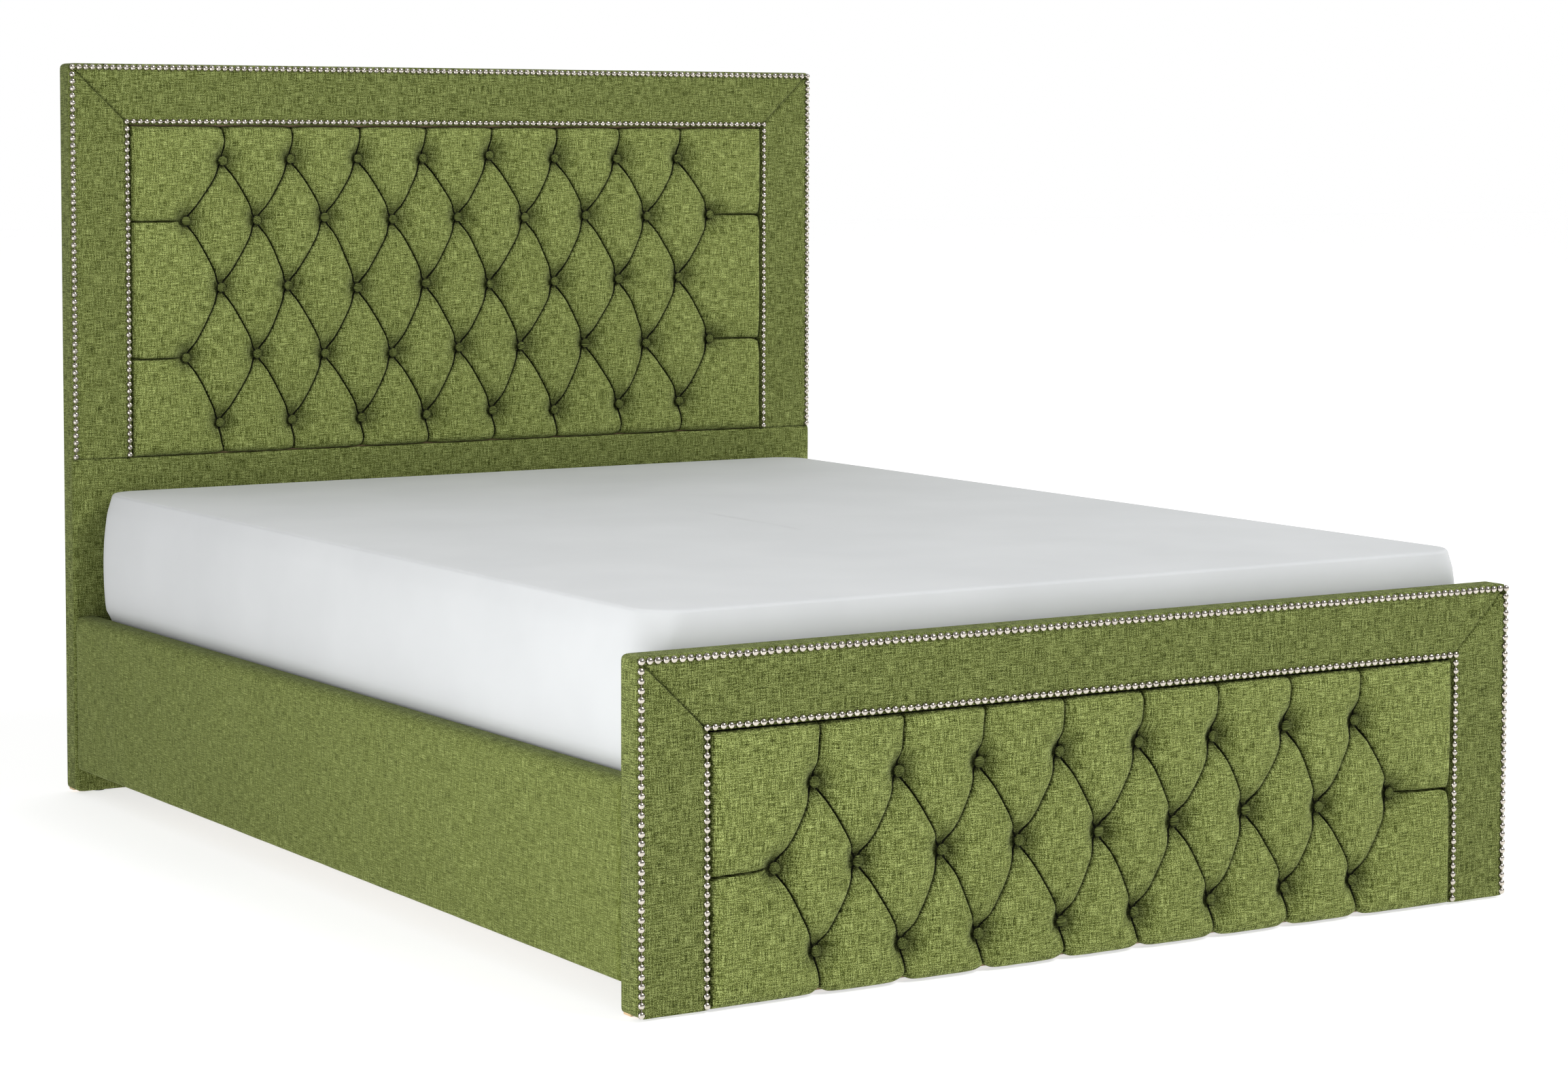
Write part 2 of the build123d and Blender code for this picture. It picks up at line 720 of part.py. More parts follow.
def levelling_foot(name, y):
    """Stud with a round foot, which screws in and out of the leg's insert."""
    with BuildPart() as piece:
        with BuildSketch(Plane.XY):
            with Locations((0, y)):
                Circle(FOOT_RADIUS)
        extrude(amount=FOOT_HEIGHT)
        chamfer(piece.edges().filter_by(GeomType.CIRCLE).sort_by(Axis.Z)[-1], FOOT_CHAMFER)
        with BuildSketch(Plane.XY.offset(FOOT_HEIGHT)):
            with Locations((0, y)):
                Circle(STUD_RADIUS)
        extrude(amount=STUD_TOP - FOOT_HEIGHT)
        chamfer(piece.edges().filter_by(GeomType.CIRCLE).sort_by(Axis.Z)[-1], STUD_CHAMFER)
    keep(piece, f"levelling_foot_{name}")


# ---- slats -------------------------------------------------------------------------------------


def slats(side_name, side):
    """Sprung slats, bowed upwards between their two ends."""
    near, far = side * SLAT_INNER, side * SLAT_OUTER
    middle = (near + far) / 2
    top = SLAT_BASE + SLAT_THICKNESS
    with BuildPart() as piece:
        with BuildSketch(*[upright(y - SLAT_WIDTH / 2) for y in SLAT_ROWS]):
            with BuildLine():
                ThreePointArc((near, SLAT_BASE), (middle, SLAT_BASE + SLAT_RISE), (far, SLAT_BASE))
                Line((far, SLAT_BASE), (far, top))
                ThreePointArc((far, top), (middle, top + SLAT_RISE), (near, top))
                Line((near, top), (near, SLAT_BASE))
            make_face()
        extrude(amount=-SLAT_WIDTH)
    keep(piece, f"slats_{side_name}")


def slat_holder(label, bodies, pockets):
    """Plastic caps that sit on a ledger or the beam, with a pocket for each slat end."""
    half = HOLDER_LENGTH / 2
    pocket_half = SLAT_WIDTH / 2 + FIT
    floor = LEDGER_TOP + HOLDER_FLOOR
    with BuildPart() as piece:
        for y in SLAT_ROWS:
            for x in bodies:
                block(x, (y - half, y + half), (LEDGER_TOP, LEDGER_TOP + HOLDER_HEIGHT))
        for y in SLAT_ROWS:
            for x in pockets:
                z = (floor, floor + HOLDER_POCKET)
                block(x, (y - pocket_half, y + pocket_half), z, mode=Mode.SUBTRACT)
    keep(piece, label)


def side_slat_holders():
    mouth = SLAT_OUTER - POCKET_DEPTH
    back = SLAT_OUTER + HOLDER_STOP
    bodies = [mirrored(side, mouth, back + HOLDER_WALL) for side in SIDES.values()]
    pockets = [mirrored(side, mouth - CUT_PAST, back) for side in SIDES.values()]
    slat_holder("slat_holders_side", bodies, pockets)


def centre_slat_holders():
    mouth = SLAT_INNER + POCKET_DEPTH
    web = SLAT_INNER - HOLDER_STOP
    pockets = [mirrored(side, web, mouth + CUT_PAST) for side in SIDES.values()]
    slat_holder("slat_holders_centre", [(-mouth, mouth)], pockets)


# ---- mattress ----------------------------------------------------------------------------------


def mattress_solid(inset):
    """The mattress's shape, this much smaller on every side."""
    bottom = MATTRESS_BOTTOM + inset
    edge = MATTRESS_EDGE - inset
    with BuildPart() as piece:
        with BuildSketch(Plane.XY.offset(bottom)):
            RectangleRounded(
                MATTRESS_WIDTH - 2 * inset,
                MATTRESS_LENGTH - 2 * inset,
                MATTRESS_CORNER - inset,
            )
        extrude(amount=MATTRESS_TOP - inset - bottom)
        fillet(piece.faces().sort_by(Axis.Z)[-1].edges(), edge)
        fillet(piece.faces().sort_by(Axis.Z)[0].edges(), edge)
    return piece.part


def mattress_cover():
    """Fitted cover: top, sides and a flange turned in underneath."""
    with BuildPart() as piece:
        add(mattress_solid(0))
        add(mattress_solid(COVER_THICKNESS), mode=Mode.SUBTRACT)
        with BuildSketch(Plane.XY.offset(MATTRESS_BOTTOM)):
            RectangleRounded(
                MATTRESS_WIDTH - 2 * COVER_FLANGE,
                MATTRESS_LENGTH - 2 * COVER_FLANGE,
                MATTRESS_CORNER,
            )
        extrude(amount=COVER_THICKNESS, mode=Mode.SUBTRACT)
    keep(piece, "mattress_cover")


def mattress_core():
    with BuildPart() as piece:
        add(mattress_solid(COVER_THICKNESS + FIT))
    keep(piece, "mattress_core")


# ---- the whole bed -----------------------------------------------------------------------------


def build_panel(panel):
    for side_name, side in SIDES.items():
        post(panel, side_name, side)
        border_side(panel, side_name, side)
    cross_rail(panel, "top", (panel.top - WRAP - TOP_RAIL_HEIGHT, panel.top - WRAP))
    cross_rail(panel, "bottom", BOTTOM_RAIL)
    front_board(panel)
    back_cover(panel)
    glides(panel)
    border_top(panel)
    tufted_pad(panel)
    buttons(panel)
    outer_x, outer_z = HALF_WIDTH - NAIL_INSET, panel.top - NAIL_INSET
    clear = NAIL_RADIUS + NAIL_EDGE_GAP
    inner_x, inner_z = INNER_X + clear, panel.pad_top + clear
    bottom = panel.pad_bottom + clear
    nail_trim(panel, "outer", outer_x, outer_z, bottom)
    nail_trim(panel, "inner", inner_x, inner_z, bottom)


def build_rail(side_name, side):
    side_rail_board(side_name, side)
    side_rail_cover(side_name, side)
    ledger(side_name, side)
    slats(side_name, side)


def build_base():
    for end_name in ("head", "foot"):
        beam_hanger(end_name)
        for side_name, side in SIDES.items():
            corner_bracket(end_name, side_name, side)
    frame_bolts()
    frame_screws()
    centre_beam()
    for leg_name, y in LEG_ROWS.items():
        centre_leg(leg_name, y)
        levelling_foot(leg_name, y)
    leg_bolts()
    leg_inserts()
    side_slat_holders()
    centre_slat_holders()


build_panel(HEADBOARD)
cross_rail(HEADBOARD, "middle", MID_RAIL)
lower_pad()
build_panel(FOOTBOARD)
for side_name, side in SIDES.items():
    build_rail(side_name, side)
build_base()
mattress_core()
mattress_cover()
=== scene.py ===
"""Looks of the upholstered bed: tufted panels, borders, rails, mattress, and every material.

Metres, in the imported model's own frame: the foot end is at -Y, the head end at +Y, the floor at Z = 0.
"""

import json
import math

import bmesh
import bpy
import numpy as np
from mathutils import Matrix, Vector


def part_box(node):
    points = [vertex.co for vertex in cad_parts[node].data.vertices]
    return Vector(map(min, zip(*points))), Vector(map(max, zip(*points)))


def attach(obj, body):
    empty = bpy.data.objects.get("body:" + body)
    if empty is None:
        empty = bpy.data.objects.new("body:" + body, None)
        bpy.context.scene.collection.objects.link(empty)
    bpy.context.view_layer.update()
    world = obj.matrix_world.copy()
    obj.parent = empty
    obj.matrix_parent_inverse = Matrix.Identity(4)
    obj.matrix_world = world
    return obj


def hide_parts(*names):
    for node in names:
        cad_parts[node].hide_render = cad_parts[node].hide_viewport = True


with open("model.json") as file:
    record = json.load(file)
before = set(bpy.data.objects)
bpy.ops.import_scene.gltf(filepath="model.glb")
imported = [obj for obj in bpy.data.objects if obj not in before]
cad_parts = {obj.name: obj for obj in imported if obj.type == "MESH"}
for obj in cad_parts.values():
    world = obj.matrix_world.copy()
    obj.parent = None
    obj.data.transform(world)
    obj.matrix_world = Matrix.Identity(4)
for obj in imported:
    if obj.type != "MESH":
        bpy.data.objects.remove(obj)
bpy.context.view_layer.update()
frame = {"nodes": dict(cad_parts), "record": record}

FRAME_BODY = "bed_frame"
MATTRESS_BODY = "mattress"
MM = 0.001

# ---- camera and studio -------------------------------------------------------------------------

CAMERA_PLACE = Vector((-3.2768, -5.3414, 1.2079))
CAMERA_YAW = 0.5636
CAMERA_PITCH = -0.0673
CAMERA_ROLL = 0.0023
CAMERA_LENS = 84.34
CAMERA_SHIFT = -0.1
SKY_ROOM = 0.28
SKY_BACKDROP = 1.0
FLOOR_GLOW = 0.66
FLOOR_REACH = 40

# ---- upholstery sizes --------------------------------------------------------------------------

BORDER_SIDE = 118 * MM
BORDER_TOP = 112 * MM
CORNER_RADIUS = 12 * MM  # of each panel's corners, seen from the front
PADDING = 24 * MM
NAIL_INSET = 7 * MM  # from the outer nails to the panel's edge
INNER_NAIL_INSET = 6.5 * MM  # from the inner nails to the border's inner edge
NAIL_RADIUS = 5.5 * MM
NAIL_RISE = 4.6 * MM
NAIL_SUNK = 0.4 * MM  # how far the heads are pressed into the cloth
NAIL_PITCH = 13 * MM
NAIL_PROFILE = [90, 76, 60, 43, 24]  # degrees from the top of a head, from its foot up
NAIL_SEGMENTS = 14
LINK_HALF = 1.1 * MM
LINK_RISE = 1.0 * MM

CROWN = 8 * MM
BUTTON_RADIUS = 8.5 * MM
BUTTON_DOME = 0.62  # depth of a button's profile, as a share of its radius
BUTTON_SINK = 13.5 * MM
BUTTON_SHADOW = 5 * MM  # width of the ring of painted shade round a button
COLUMN = 71 * MM  # half the distance between two buttons of a row
STEPS = 28  # mesh steps from one row or half column of buttons to the next
EDGE_STEP = 4.4 * MM  # mesh steps between the outermost rows and the pad's edges
PLEAT_DEPTH = 13 * MM
PLEAT_REACH = 44 * MM
SLIT_DEPTH = 13 * MM
SLIT_HALF_WIDTH = 1.9 * MM
SLIT_REACH = 13 * MM
DIMPLE_DEPTH = 20 * MM
DIMPLE_FLAT = 7 * MM
DIMPLE_SPREAD = 20 * MM
DEEPEST = 30.5 * MM
WRINKLE_RADIUS = 26 * MM
WRINKLE_BAND = 15 * MM
DRIFT = 2.6 * MM
DRIFT_MOST = 5 * MM
DRIFT_REACH = 45 * MM
RIM_REACH = 24 * MM
RIM_DROP = 12 * MM
HEAD_ROWS = [(1.168, 8), (1.052, 9), (0.925, 8), (0.799, 9), (0.675, 8)]
FOOT_ROWS = [(0.307, 8), (0.184, 9), (0.058, 8)]

# ---- cloth -------------------------------------------------------------------------------------

THREAD = 1.3 * MM
BUTTON_THREAD = 1.1 * MM
THREADS_MEAN = 1.9  # mean of the weave's summed noises
FOLD_SHADE = 0.5  # share of the colour lost at the bottom of a fold: painted shade
PAINTED_SLIT_KEEP = 0.06  # share of the colour left inside a pleat: painted shade along the slit

# ---- mattress ----------------------------------------------------------------------------------

MATTRESS_EDGE = 7 * MM
MATTRESS_CORNER = 62 * MM
MATTRESS_BULGE = 15 * MM
BULGE_FROM = 44 * MM  # above the mattress's base: just below the top of the rails
BULGE_RAMP = 24 * MM
FLANGE = 60 * MM  # width of cover turned under the mattress
UNDERSIDE_RING = 30 * MM  # from the side to the only ring of points within the flange
PER_CORNER = 14
PER_SIDE = 36


# ---- mesh helpers ------------------------------------------------------------------------------


def new_object(name, verts, faces, material, smooth=True):
    """A mesh object from plain lists, with outward normals."""
    mesh = bpy.data.meshes.new(name)
    mesh.from_pydata([tuple(v) for v in verts], [], faces)
    work = bmesh.new()
    work.from_mesh(mesh)
    bmesh.ops.recalc_face_normals(work, faces=work.faces)
    for face in work.faces:
        face.smooth = smooth
    work.to_mesh(mesh)
    work.free()
    mesh.materials.append(material)
    piece = bpy.data.objects.new(name, mesh)
    bpy.context.scene.collection.objects.link(piece)
    return piece


def set_uv(piece, coords):
    """Write one (u, v) per vertex, in metres of cloth, to the piece's UV map."""
    mesh = piece.data
    layer = mesh.uv_layers.new(name="cloth")
    index = np.zeros(len(mesh.loops), np.int32)
    mesh.loops.foreach_get("vertex_index", index)
    layer.data.foreach_set("uv", np.asarray(coords, np.float32)[index].ravel())


def waves(x, z, seed, scale, octaves=2):
    """Smooth noise between about -1 and 1, from a few fixed sine waves."""
    rng = np.random.default_rng(seed)
    total = np.zeros_like(np.asarray(x, float))
    for octave in range(octaves):
        size = scale / 2**octave
        for _ in range(6):
            angle, phase = rng.uniform(0, 2 * math.pi, 2)
            stretch = rng.uniform(0.7, 1.4)
            along = (x * math.cos(angle) + z * math.sin(angle)) / (size * stretch)
            total = total + np.sin(2 * math.pi * along + phase) / (4 * 1.6**octave)
    return total


def sweep(name, loops, uvs, material):
    """A closed tube through these rings of points, with flat ends."""
    loops = np.asarray(loops)
    rings, count = loops.shape[:2]
    faces = []
    for i in range(rings - 1):
        a, b = i * count, (i + 1) * count
        faces += [(a + j, a + (j + 1) % count, b + (j + 1) % count, b + j) for j in range(count)]
    faces.append(tuple(range(count)))
    faces.append(tuple((rings - 1) * count + j for j in range(count)))
    piece = new_object(name, loops.reshape(-1, 3), faces, material)
    set_uv(piece, np.asarray(uvs).reshape(-1, 2))
    return piece


def grid_edge(rows, columns):
    """Vertex numbers round the edge of a grid, row by row from its first corner."""
    ring = list(range(columns)) + [i * columns + columns - 1 for i in range(1, rows)]
    ring += [(rows - 1) * columns + j for j in range(columns - 2, -1, -1)]
    return ring + [i * columns for i in range(rows - 2, 0, -1)]


def arc(centre, radius, start, end, steps):
    """Points on a circular arc in a section, angles in degrees."""
    angles = np.radians(np.linspace(start, end, steps))
    return [(centre[0] + radius * math.cos(a), centre[1] + radius * math.sin(a)) for a in angles]


def dense(points, step):
    """The same outline with points added so that none are further apart than step."""
    result = []
    for start, end in zip(points, points[1:] + points[:1]):
        start, end = np.array(start), np.array(end)
        pieces = max(1, math.ceil(np.linalg.norm(end - start) / step))
        result += [tuple(start + (end - start) * i / pieces) for i in range(pieces)]
    return result


def along_outline(points):
    """Distance along a closed outline to each of its points."""
    points = np.asarray(points)
    steps = np.linalg.norm(np.diff(points, axis=0), axis=1)
    return np.concatenate([[0], np.cumsum(steps)])


# ---- materials ---------------------------------------------------------------------------------


class Nodes:
    """Short names for the few node types that the materials are built from."""

    def __init__(self, name):
        self.material = bpy.data.materials.new(name)
        self.material.use_nodes = True
        self.tree = self.material.node_tree
        self.shader = self.tree.nodes["Principled BSDF"]

    def add(self, kind, **settings):
        node = self.tree.nodes.new(kind)
        for key, value in settings.items():
            setattr(node, key, value)
        return node

    def link(self, source, target):
        self.tree.links.new(source, target)

    def coordinates(self, kind, scale):
        source = self.add("ShaderNodeTexCoord")
        mapping = self.add("ShaderNodeMapping")
        mapping.inputs["Scale"].default_value = scale
        self.link(source.outputs[kind], mapping.inputs["Vector"])
        return mapping.outputs["Vector"]

    def noise(self, vector, detail=2.0, roughness=0.5, distortion=0.0):
        node = self.add("ShaderNodeTexNoise")
        node.inputs["Scale"].default_value = 1
        node.inputs["Detail"].default_value = detail
        node.inputs["Roughness"].default_value = roughness
        node.inputs["Distortion"].default_value = distortion
        self.link(vector, node.inputs["Vector"])
        return node.outputs["Fac"]

    def math(self, operation, *values):
        node = self.add("ShaderNodeMath", operation=operation)
        for socket, value in zip(node.inputs, values):
            if isinstance(value, (int, float)):
                socket.default_value = value
            else:
                self.link(value, socket)
        return node.outputs["Value"]

    def mix(self, factor, first, second, blend="MIX"):
        node = self.add("ShaderNodeMix", data_type="RGBA", blend_type=blend)
        for index, value in ((0, factor), (6, first), (7, second)):
            if isinstance(value, (int, float)):
                node.inputs[index].default_value = value
            elif isinstance(value, tuple):
                node.inputs[index].default_value = (*value, 1)
            else:
                self.link(value, node.inputs[index])
        return node.outputs[2]

    def ramp(self, factor, stops):
        node = self.add("ShaderNodeValToRGB")
        elements = node.color_ramp.elements
        while len(elements) < len(stops):
            elements.new(0.5)
        for element, (place, colour) in zip(elements, stops):
            element.position = place
            element.color = (*colour, 1)
        self.link(factor, node.inputs["Fac"])
        return node.outputs["Color"]

    def bump(self, height, distance, strength=1.0):
        node = self.add("ShaderNodeBump")
        node.inputs["Distance"].default_value = distance
        node.inputs["Strength"].default_value = strength
        self.link(height, node.inputs["Height"])
        self.link(node.outputs["Normal"], self.shader.inputs["Normal"])

    def set(self, **values):
        for key, value in values.items():
            self.shader.inputs[key.replace("_", " ")].default_value = value


def srgb(red, green, blue):
    """A linear colour from the 0 to 255 values that a screen shows."""
    return tuple(
        c / 12.92 if c <= 0.04045 else ((c + 0.055) / 1.055) ** 2.4
        for c in (red / 255, green / 255, blue / 255)
    )


def woven_cloth(name, dark, middle, light, thread, contrast=1.4, tone=1.0, paint_fold_shade=False):
    """Plain weave of slubby two-tone yarn: uneven threads run both ways, over and under each other."""
    n = Nodes(name)
    across = 1 / thread
    warp = n.noise(n.coordinates("UV", (across, across * 0.06, 1)), detail=2, roughness=0.6)
    weft = n.noise(n.coordinates("UV", (across * 0.06, across, 1)), detail=2, roughness=0.6)
    warp_slub = n.noise(n.coordinates("UV", (across * 0.36, across * 0.02, 1)), detail=2, roughness=0.6)
    weft_slub = n.noise(n.coordinates("UV", (across * 0.025, across * 0.36, 1)), detail=2, roughness=0.6)
    grain = n.noise(n.coordinates("UV", (across, across, 1)), detail=1)
    slubs = n.math("MULTIPLY", n.math("ADD", warp_slub, weft_slub), 0.15)
    threads = n.math("ADD", n.math("ADD", warp, weft), slubs)
    threads = n.math("ADD", threads, n.math("MULTIPLY", grain, 1.5))
    spread = n.math("MULTIPLY_ADD", threads, contrast, 0.5 - contrast * THREADS_MEAN)
    tint = n.ramp(spread, [(0.05, dark), (0.5, middle), (0.95, light)])
    broad = n.noise(n.coordinates("UV", (7, 7, 1)), detail=3)
    # tone makes lighter and darker copies of one cloth, as painted light and shade, on top of the broad
    # random tone.
    shade = n.ramp(broad, [(0.3, (0.92 * tone, 0.92 * tone, 0.9 * tone)), (0.7, (tone,) * 3)])
    colour = n.mix(1.0, tint, shade, "MULTIPLY")
    # Painted shade: the fold and slit attributes darken the colour in the dimples, down the pleats and round
    # the buttons.
    if paint_fold_shade:
        for attribute, darkest_from, keep in (("fold", 1.0, 1 - FOLD_SHADE), ("slit", 0.3, PAINTED_SLIT_KEEP)):
            depth = n.add("ShaderNodeAttribute", attribute_name=attribute)
            painted_fold_shade = n.ramp(depth.outputs["Fac"], [(0.0, (1.0,) * 3), (darkest_from, (keep,) * 3)])
            colour = n.mix(1.0, colour, painted_fold_shade, "MULTIPLY")
    n.link(colour, n.shader.inputs["Base Color"])
    n.bump(n.math("ADD", warp, weft), 0.35 * MM, 0.7)
    n.set(Roughness=0.95, Sheen_Weight=0.03, Sheen_Roughness=0.5, Specular_IOR_Level=0.08)
    return n.material


def fitted_cotton():
    """Smooth white cotton, faintly woven and faintly uneven."""
    n = Nodes("white_cotton")
    fine = n.noise(n.coordinates("Object", (1500, 1500, 1500)), detail=2)
    broad = n.noise(n.coordinates("Object", (5, 5, 5)), detail=3)
    tint = n.ramp(broad, [(0.3, (0.525, 0.538, 0.545)), (0.7, (0.555, 0.568, 0.575))])
    n.link(tint, n.shader.inputs["Base Color"])
    n.bump(n.math("ADD", fine, n.math("MULTIPLY", broad, 6.0)), 0.25 * MM, 0.5)
    n.set(Roughness=0.85, Sheen_Weight=0.15, Specular_IOR_Level=0.25)
    return n.material


def ticking():
    """Grey-white non-woven cloth of the mattress's underside."""
    n = Nodes("mattress_ticking")
    fine = n.noise(n.coordinates("Object", (400, 400, 400)), detail=3)
    n.link(n.ramp(fine, [(0.3, (0.5, 0.5, 0.49)), (0.7, (0.66, 0.66, 0.64))]), n.shader.inputs["Base Color"])
    n.bump(fine, 0.4 * MM, 0.6)
    n.set(Roughness=0.95, Specular_IOR_Level=0.15)
    return n.material


def polished_nickel():
    """Bright metal, with brown-black patina where the "edge" attribute is high: real patina in the crevices,
    and painted shade and dark reflection round the foot of each head and along the links.
    """
    n = Nodes("polished_nickel")
    spots = n.noise(n.coordinates("Object", (60, 60, 60)), detail=3)
    clean = n.ramp(spots, [(0.3, (0.5, 0.46, 0.4)), (0.7, (0.66, 0.61, 0.53))])
    edge = n.add("ShaderNodeAttribute", attribute_name="edge")
    patina_and_shade = n.ramp(edge.outputs["Fac"], [(0.0, (1.0,) * 3), (1.0, (0.06, 0.045, 0.03))])
    n.link(n.mix(1.0, clean, patina_and_shade, "MULTIPLY"), n.shader.inputs["Base Color"])
    fine = n.noise(n.coordinates("Object", (900, 900, 900)), detail=2)
    n.link(n.ramp(fine, [(0.2, (0.08,) * 3), (0.8, (0.16,) * 3)]), n.shader.inputs["Roughness"])
    n.bump(fine, 0.05 * MM, 0.4)
    n.set(Metallic=1.0)
    return n.material


def planed_wood(name, dark, light, grain_axis):
    """Straight-grained softwood or birch, with its grain along one axis."""
    n = Nodes(name)
    stretch = [60.0, 60.0, 60.0]
    stretch[grain_axis] = 2.5
    grain = n.noise(n.coordinates("Object", tuple(stretch)), detail=6, roughness=0.7, distortion=0.6)
    n.link(n.ramp(grain, [(0.3, dark), (0.55, light), (0.75, dark)]), n.shader.inputs["Base Color"])
    n.bump(grain, 0.4 * MM, 0.35)
    n.set(Roughness=0.62)
    return n.material


def black_steel():
    n = Nodes("black_steel")
    peel = n.noise(n.coordinates("Object", (700, 700, 700)), detail=2)
    n.link(n.ramp(peel, [(0.3, (0.018,) * 3), (0.7, (0.035,) * 3)]), n.shader.inputs["Base Color"])
    n.bump(peel, 0.1 * MM, 0.5)
    n.set(Roughness=0.45)
    return n.material


def zinc_steel():
    n = Nodes("zinc_steel")
    spangle = n.noise(n.coordinates("Object", (250, 250, 250)), detail=4)
    tint = n.ramp(spangle, [(0.3, (0.45, 0.45, 0.43)), (0.7, (0.7, 0.7, 0.67))])
    n.link(tint, n.shader.inputs["Base Color"])
    n.bump(spangle, 0.08 * MM, 0.4)
    n.set(Metallic=1.0, Roughness=0.35)
    return n.material


def black_plastic():
    n = Nodes("black_plastic")
    grain = n.noise(n.coordinates("Object", (1200, 1200, 1200)), detail=2)
    n.link(n.ramp(grain, [(0.3, (0.015,) * 3), (0.7, (0.03,) * 3)]), n.shader.inputs["Base Color"])
    n.bump(grain, 0.12 * MM, 0.6)
    n.set(Roughness=0.55)
    return n.material


YARNS = (srgb(28, 34, 8), srgb(93, 102, 47), srgb(164, 175, 110))
# The buttons' yarns are darker than the cloth's: painted shade for buttons sunk in their dimples.
SHADED_BUTTON_YARNS = (srgb(20, 25, 6), srgb(69, 76, 36), srgb(120, 130, 75))
# One cloth at three brightnesses: tone darkens the borders, lower pad and back covers and lightens the tufted
# pads, as painted light and shade.
CLOTH = woven_cloth("green_cloth", *YARNS, THREAD, tone=0.87)
TUFTED_CLOTH = woven_cloth("green_cloth_tufted", *YARNS, THREAD, tone=1.15, paint_fold_shade=True)
RAIL_CLOTH = woven_cloth("green_cloth_rail", *YARNS, THREAD, contrast=0.9)
SHADED_BUTTON_CLOTH = woven_cloth("button_cloth", *SHADED_BUTTON_YARNS, BUTTON_THREAD)
WHITE = fitted_cotton()
TICKING = ticking()
NICKEL = polished_nickel()
PINE_X = planed_wood("pine_along_x", (0.42, 0.27, 0.13), (0.62, 0.44, 0.25), 0)
PINE_Y = planed_wood("pine_along_y", (0.42, 0.27, 0.13), (0.62, 0.44, 0.25), 1)
PINE_Z = planed_wood("pine_along_z", (0.42, 0.27, 0.13), (0.62, 0.44, 0.25), 2)
BIRCH = planed_wood("birch", (0.55, 0.38, 0.21), (0.72, 0.55, 0.35), 0)
BLACK_STEEL = black_steel()
ZINC = zinc_steel()
PLASTIC = black_plastic()


# ---- tufted pads -------------------------------------------------------------------------------


def tuft_layout(rows, low, high, edge):
    """Buttons and pleats of a tufted pad, in metres.

    Each button is joined by pleats to its neighbours in the next row. Pleats also run from the
    first and last rows to the pad's edges, and sideways from the ends of each longer row.
    """
    buttons = [[((i - (count - 1) / 2) * 2 * COLUMN, z) for i in range(count)] for z, count in rows]
    pleats = []
    for upper, lower in zip(buttons, buttons[1:]):
        for a in upper:
            pleats += [(a, b) for b in lower if abs(b[0] - a[0]) < 1.1 * COLUMN]
    pleats += [(b, (b[0], high)) for b in buttons[0]]
    pleats += [(b, (b[0], low)) for b in buttons[-1]]
    longest = max(len(row) for row in buttons)
    for row in buttons:
        if len(row) == longest:
            pleats += [(row[0], (-edge, row[0][1])), (row[-1], (edge, row[-1][1]))]
    return [b for row in buttons for b in row], pleats


def drift(x, z, buttons, seed):
    """Hand-placed unevenness: a smooth shift of the cloth, a few millimetres at most."""
    rng = np.random.default_rng(seed)
    shifts = rng.normal(0, DRIFT, (len(buttons), 2)).clip(-DRIFT_MOST, DRIFT_MOST)
    weight = np.full(np.shape(x), 1e-3)
    dx, dz = np.zeros(np.shape(x)), np.zeros(np.shape(x))
    for (bx, bz), (sx, sz) in zip(buttons, shifts):
        near = np.exp(-((x - bx) ** 2 + (z - bz) ** 2) / (2 * DRIFT_REACH**2))
        weight = weight + near
        dx = dx + near * sx
        dz = dz + near * sz
    return dx / weight, dz / weight


def segment_distance(x, z, start, end):
    """Distance from each point to the straight line between start and end."""
    ax, az = start
    ux, uz = end[0] - ax, end[1] - az
    t = (((x - ax) * ux + (z - az) * uz) / (ux * ux + uz * uz)).clip(0, 1)
    return np.hypot(x - ax - t * ux, z - az - t * uz)


def slit_mask(x, z, pleats):
    """1 at the mesh points that lie on a pleat, and 0 elsewhere."""
    nearest = np.full(np.shape(x), 1.0)
    for start, end in pleats:
        nearest = np.minimum(nearest, segment_distance(x, z, start, end))
    return (nearest < 0.1 * MM).astype(float)


def tuft_depth(x, z, buttons, pleats, low, high, edge, seed):
    """How far the cloth lies behind the pad's crown at each point."""
    full = np.ones(np.shape(x))
    for start, end in pleats:
        s = (segment_distance(x, z, start, end) / PLEAT_REACH).clip(0, 1)
        full = full * np.sqrt(1 - (1 - s) ** 2)
    dimple = np.zeros(np.shape(x))
    for bx, bz in buttons:
        r = np.hypot(x - bx, z - bz)
        dimple = dimple + (1 + (np.maximum(r - DIMPLE_FLAT, 0) / DIMPLE_SPREAD) ** 2) ** -1.25
        angle = np.arctan2(z - bz, x - bx)
        pull = np.sin(11 * angle + bx * 90) + 0.6 * np.sin(17 * angle + bz * 70)
        dimple = dimple + 0.04 * pull * np.exp(-(((r - WRINKLE_RADIUS) / WRINKLE_BAND) ** 2))
    rim = np.minimum(np.minimum(z - low, high - z), edge - np.abs(x))
    s = (rim / RIM_REACH).clip(0, 1)
    rim_fall = 1 - np.sqrt(1 - (1 - s) ** 2.4)
    slit = slit_mask(x, z, pleats)
    uneven = waves(x, z, seed, 120 * MM) * 0.9 * MM
    depth = PLEAT_DEPTH * (1 - full) + DIMPLE_DEPTH * dimple.clip(0, 1.05) + RIM_DROP * rim_fall
    return (depth + SLIT_DEPTH * slit + np.abs(uneven)).clip(0, DEEPEST)


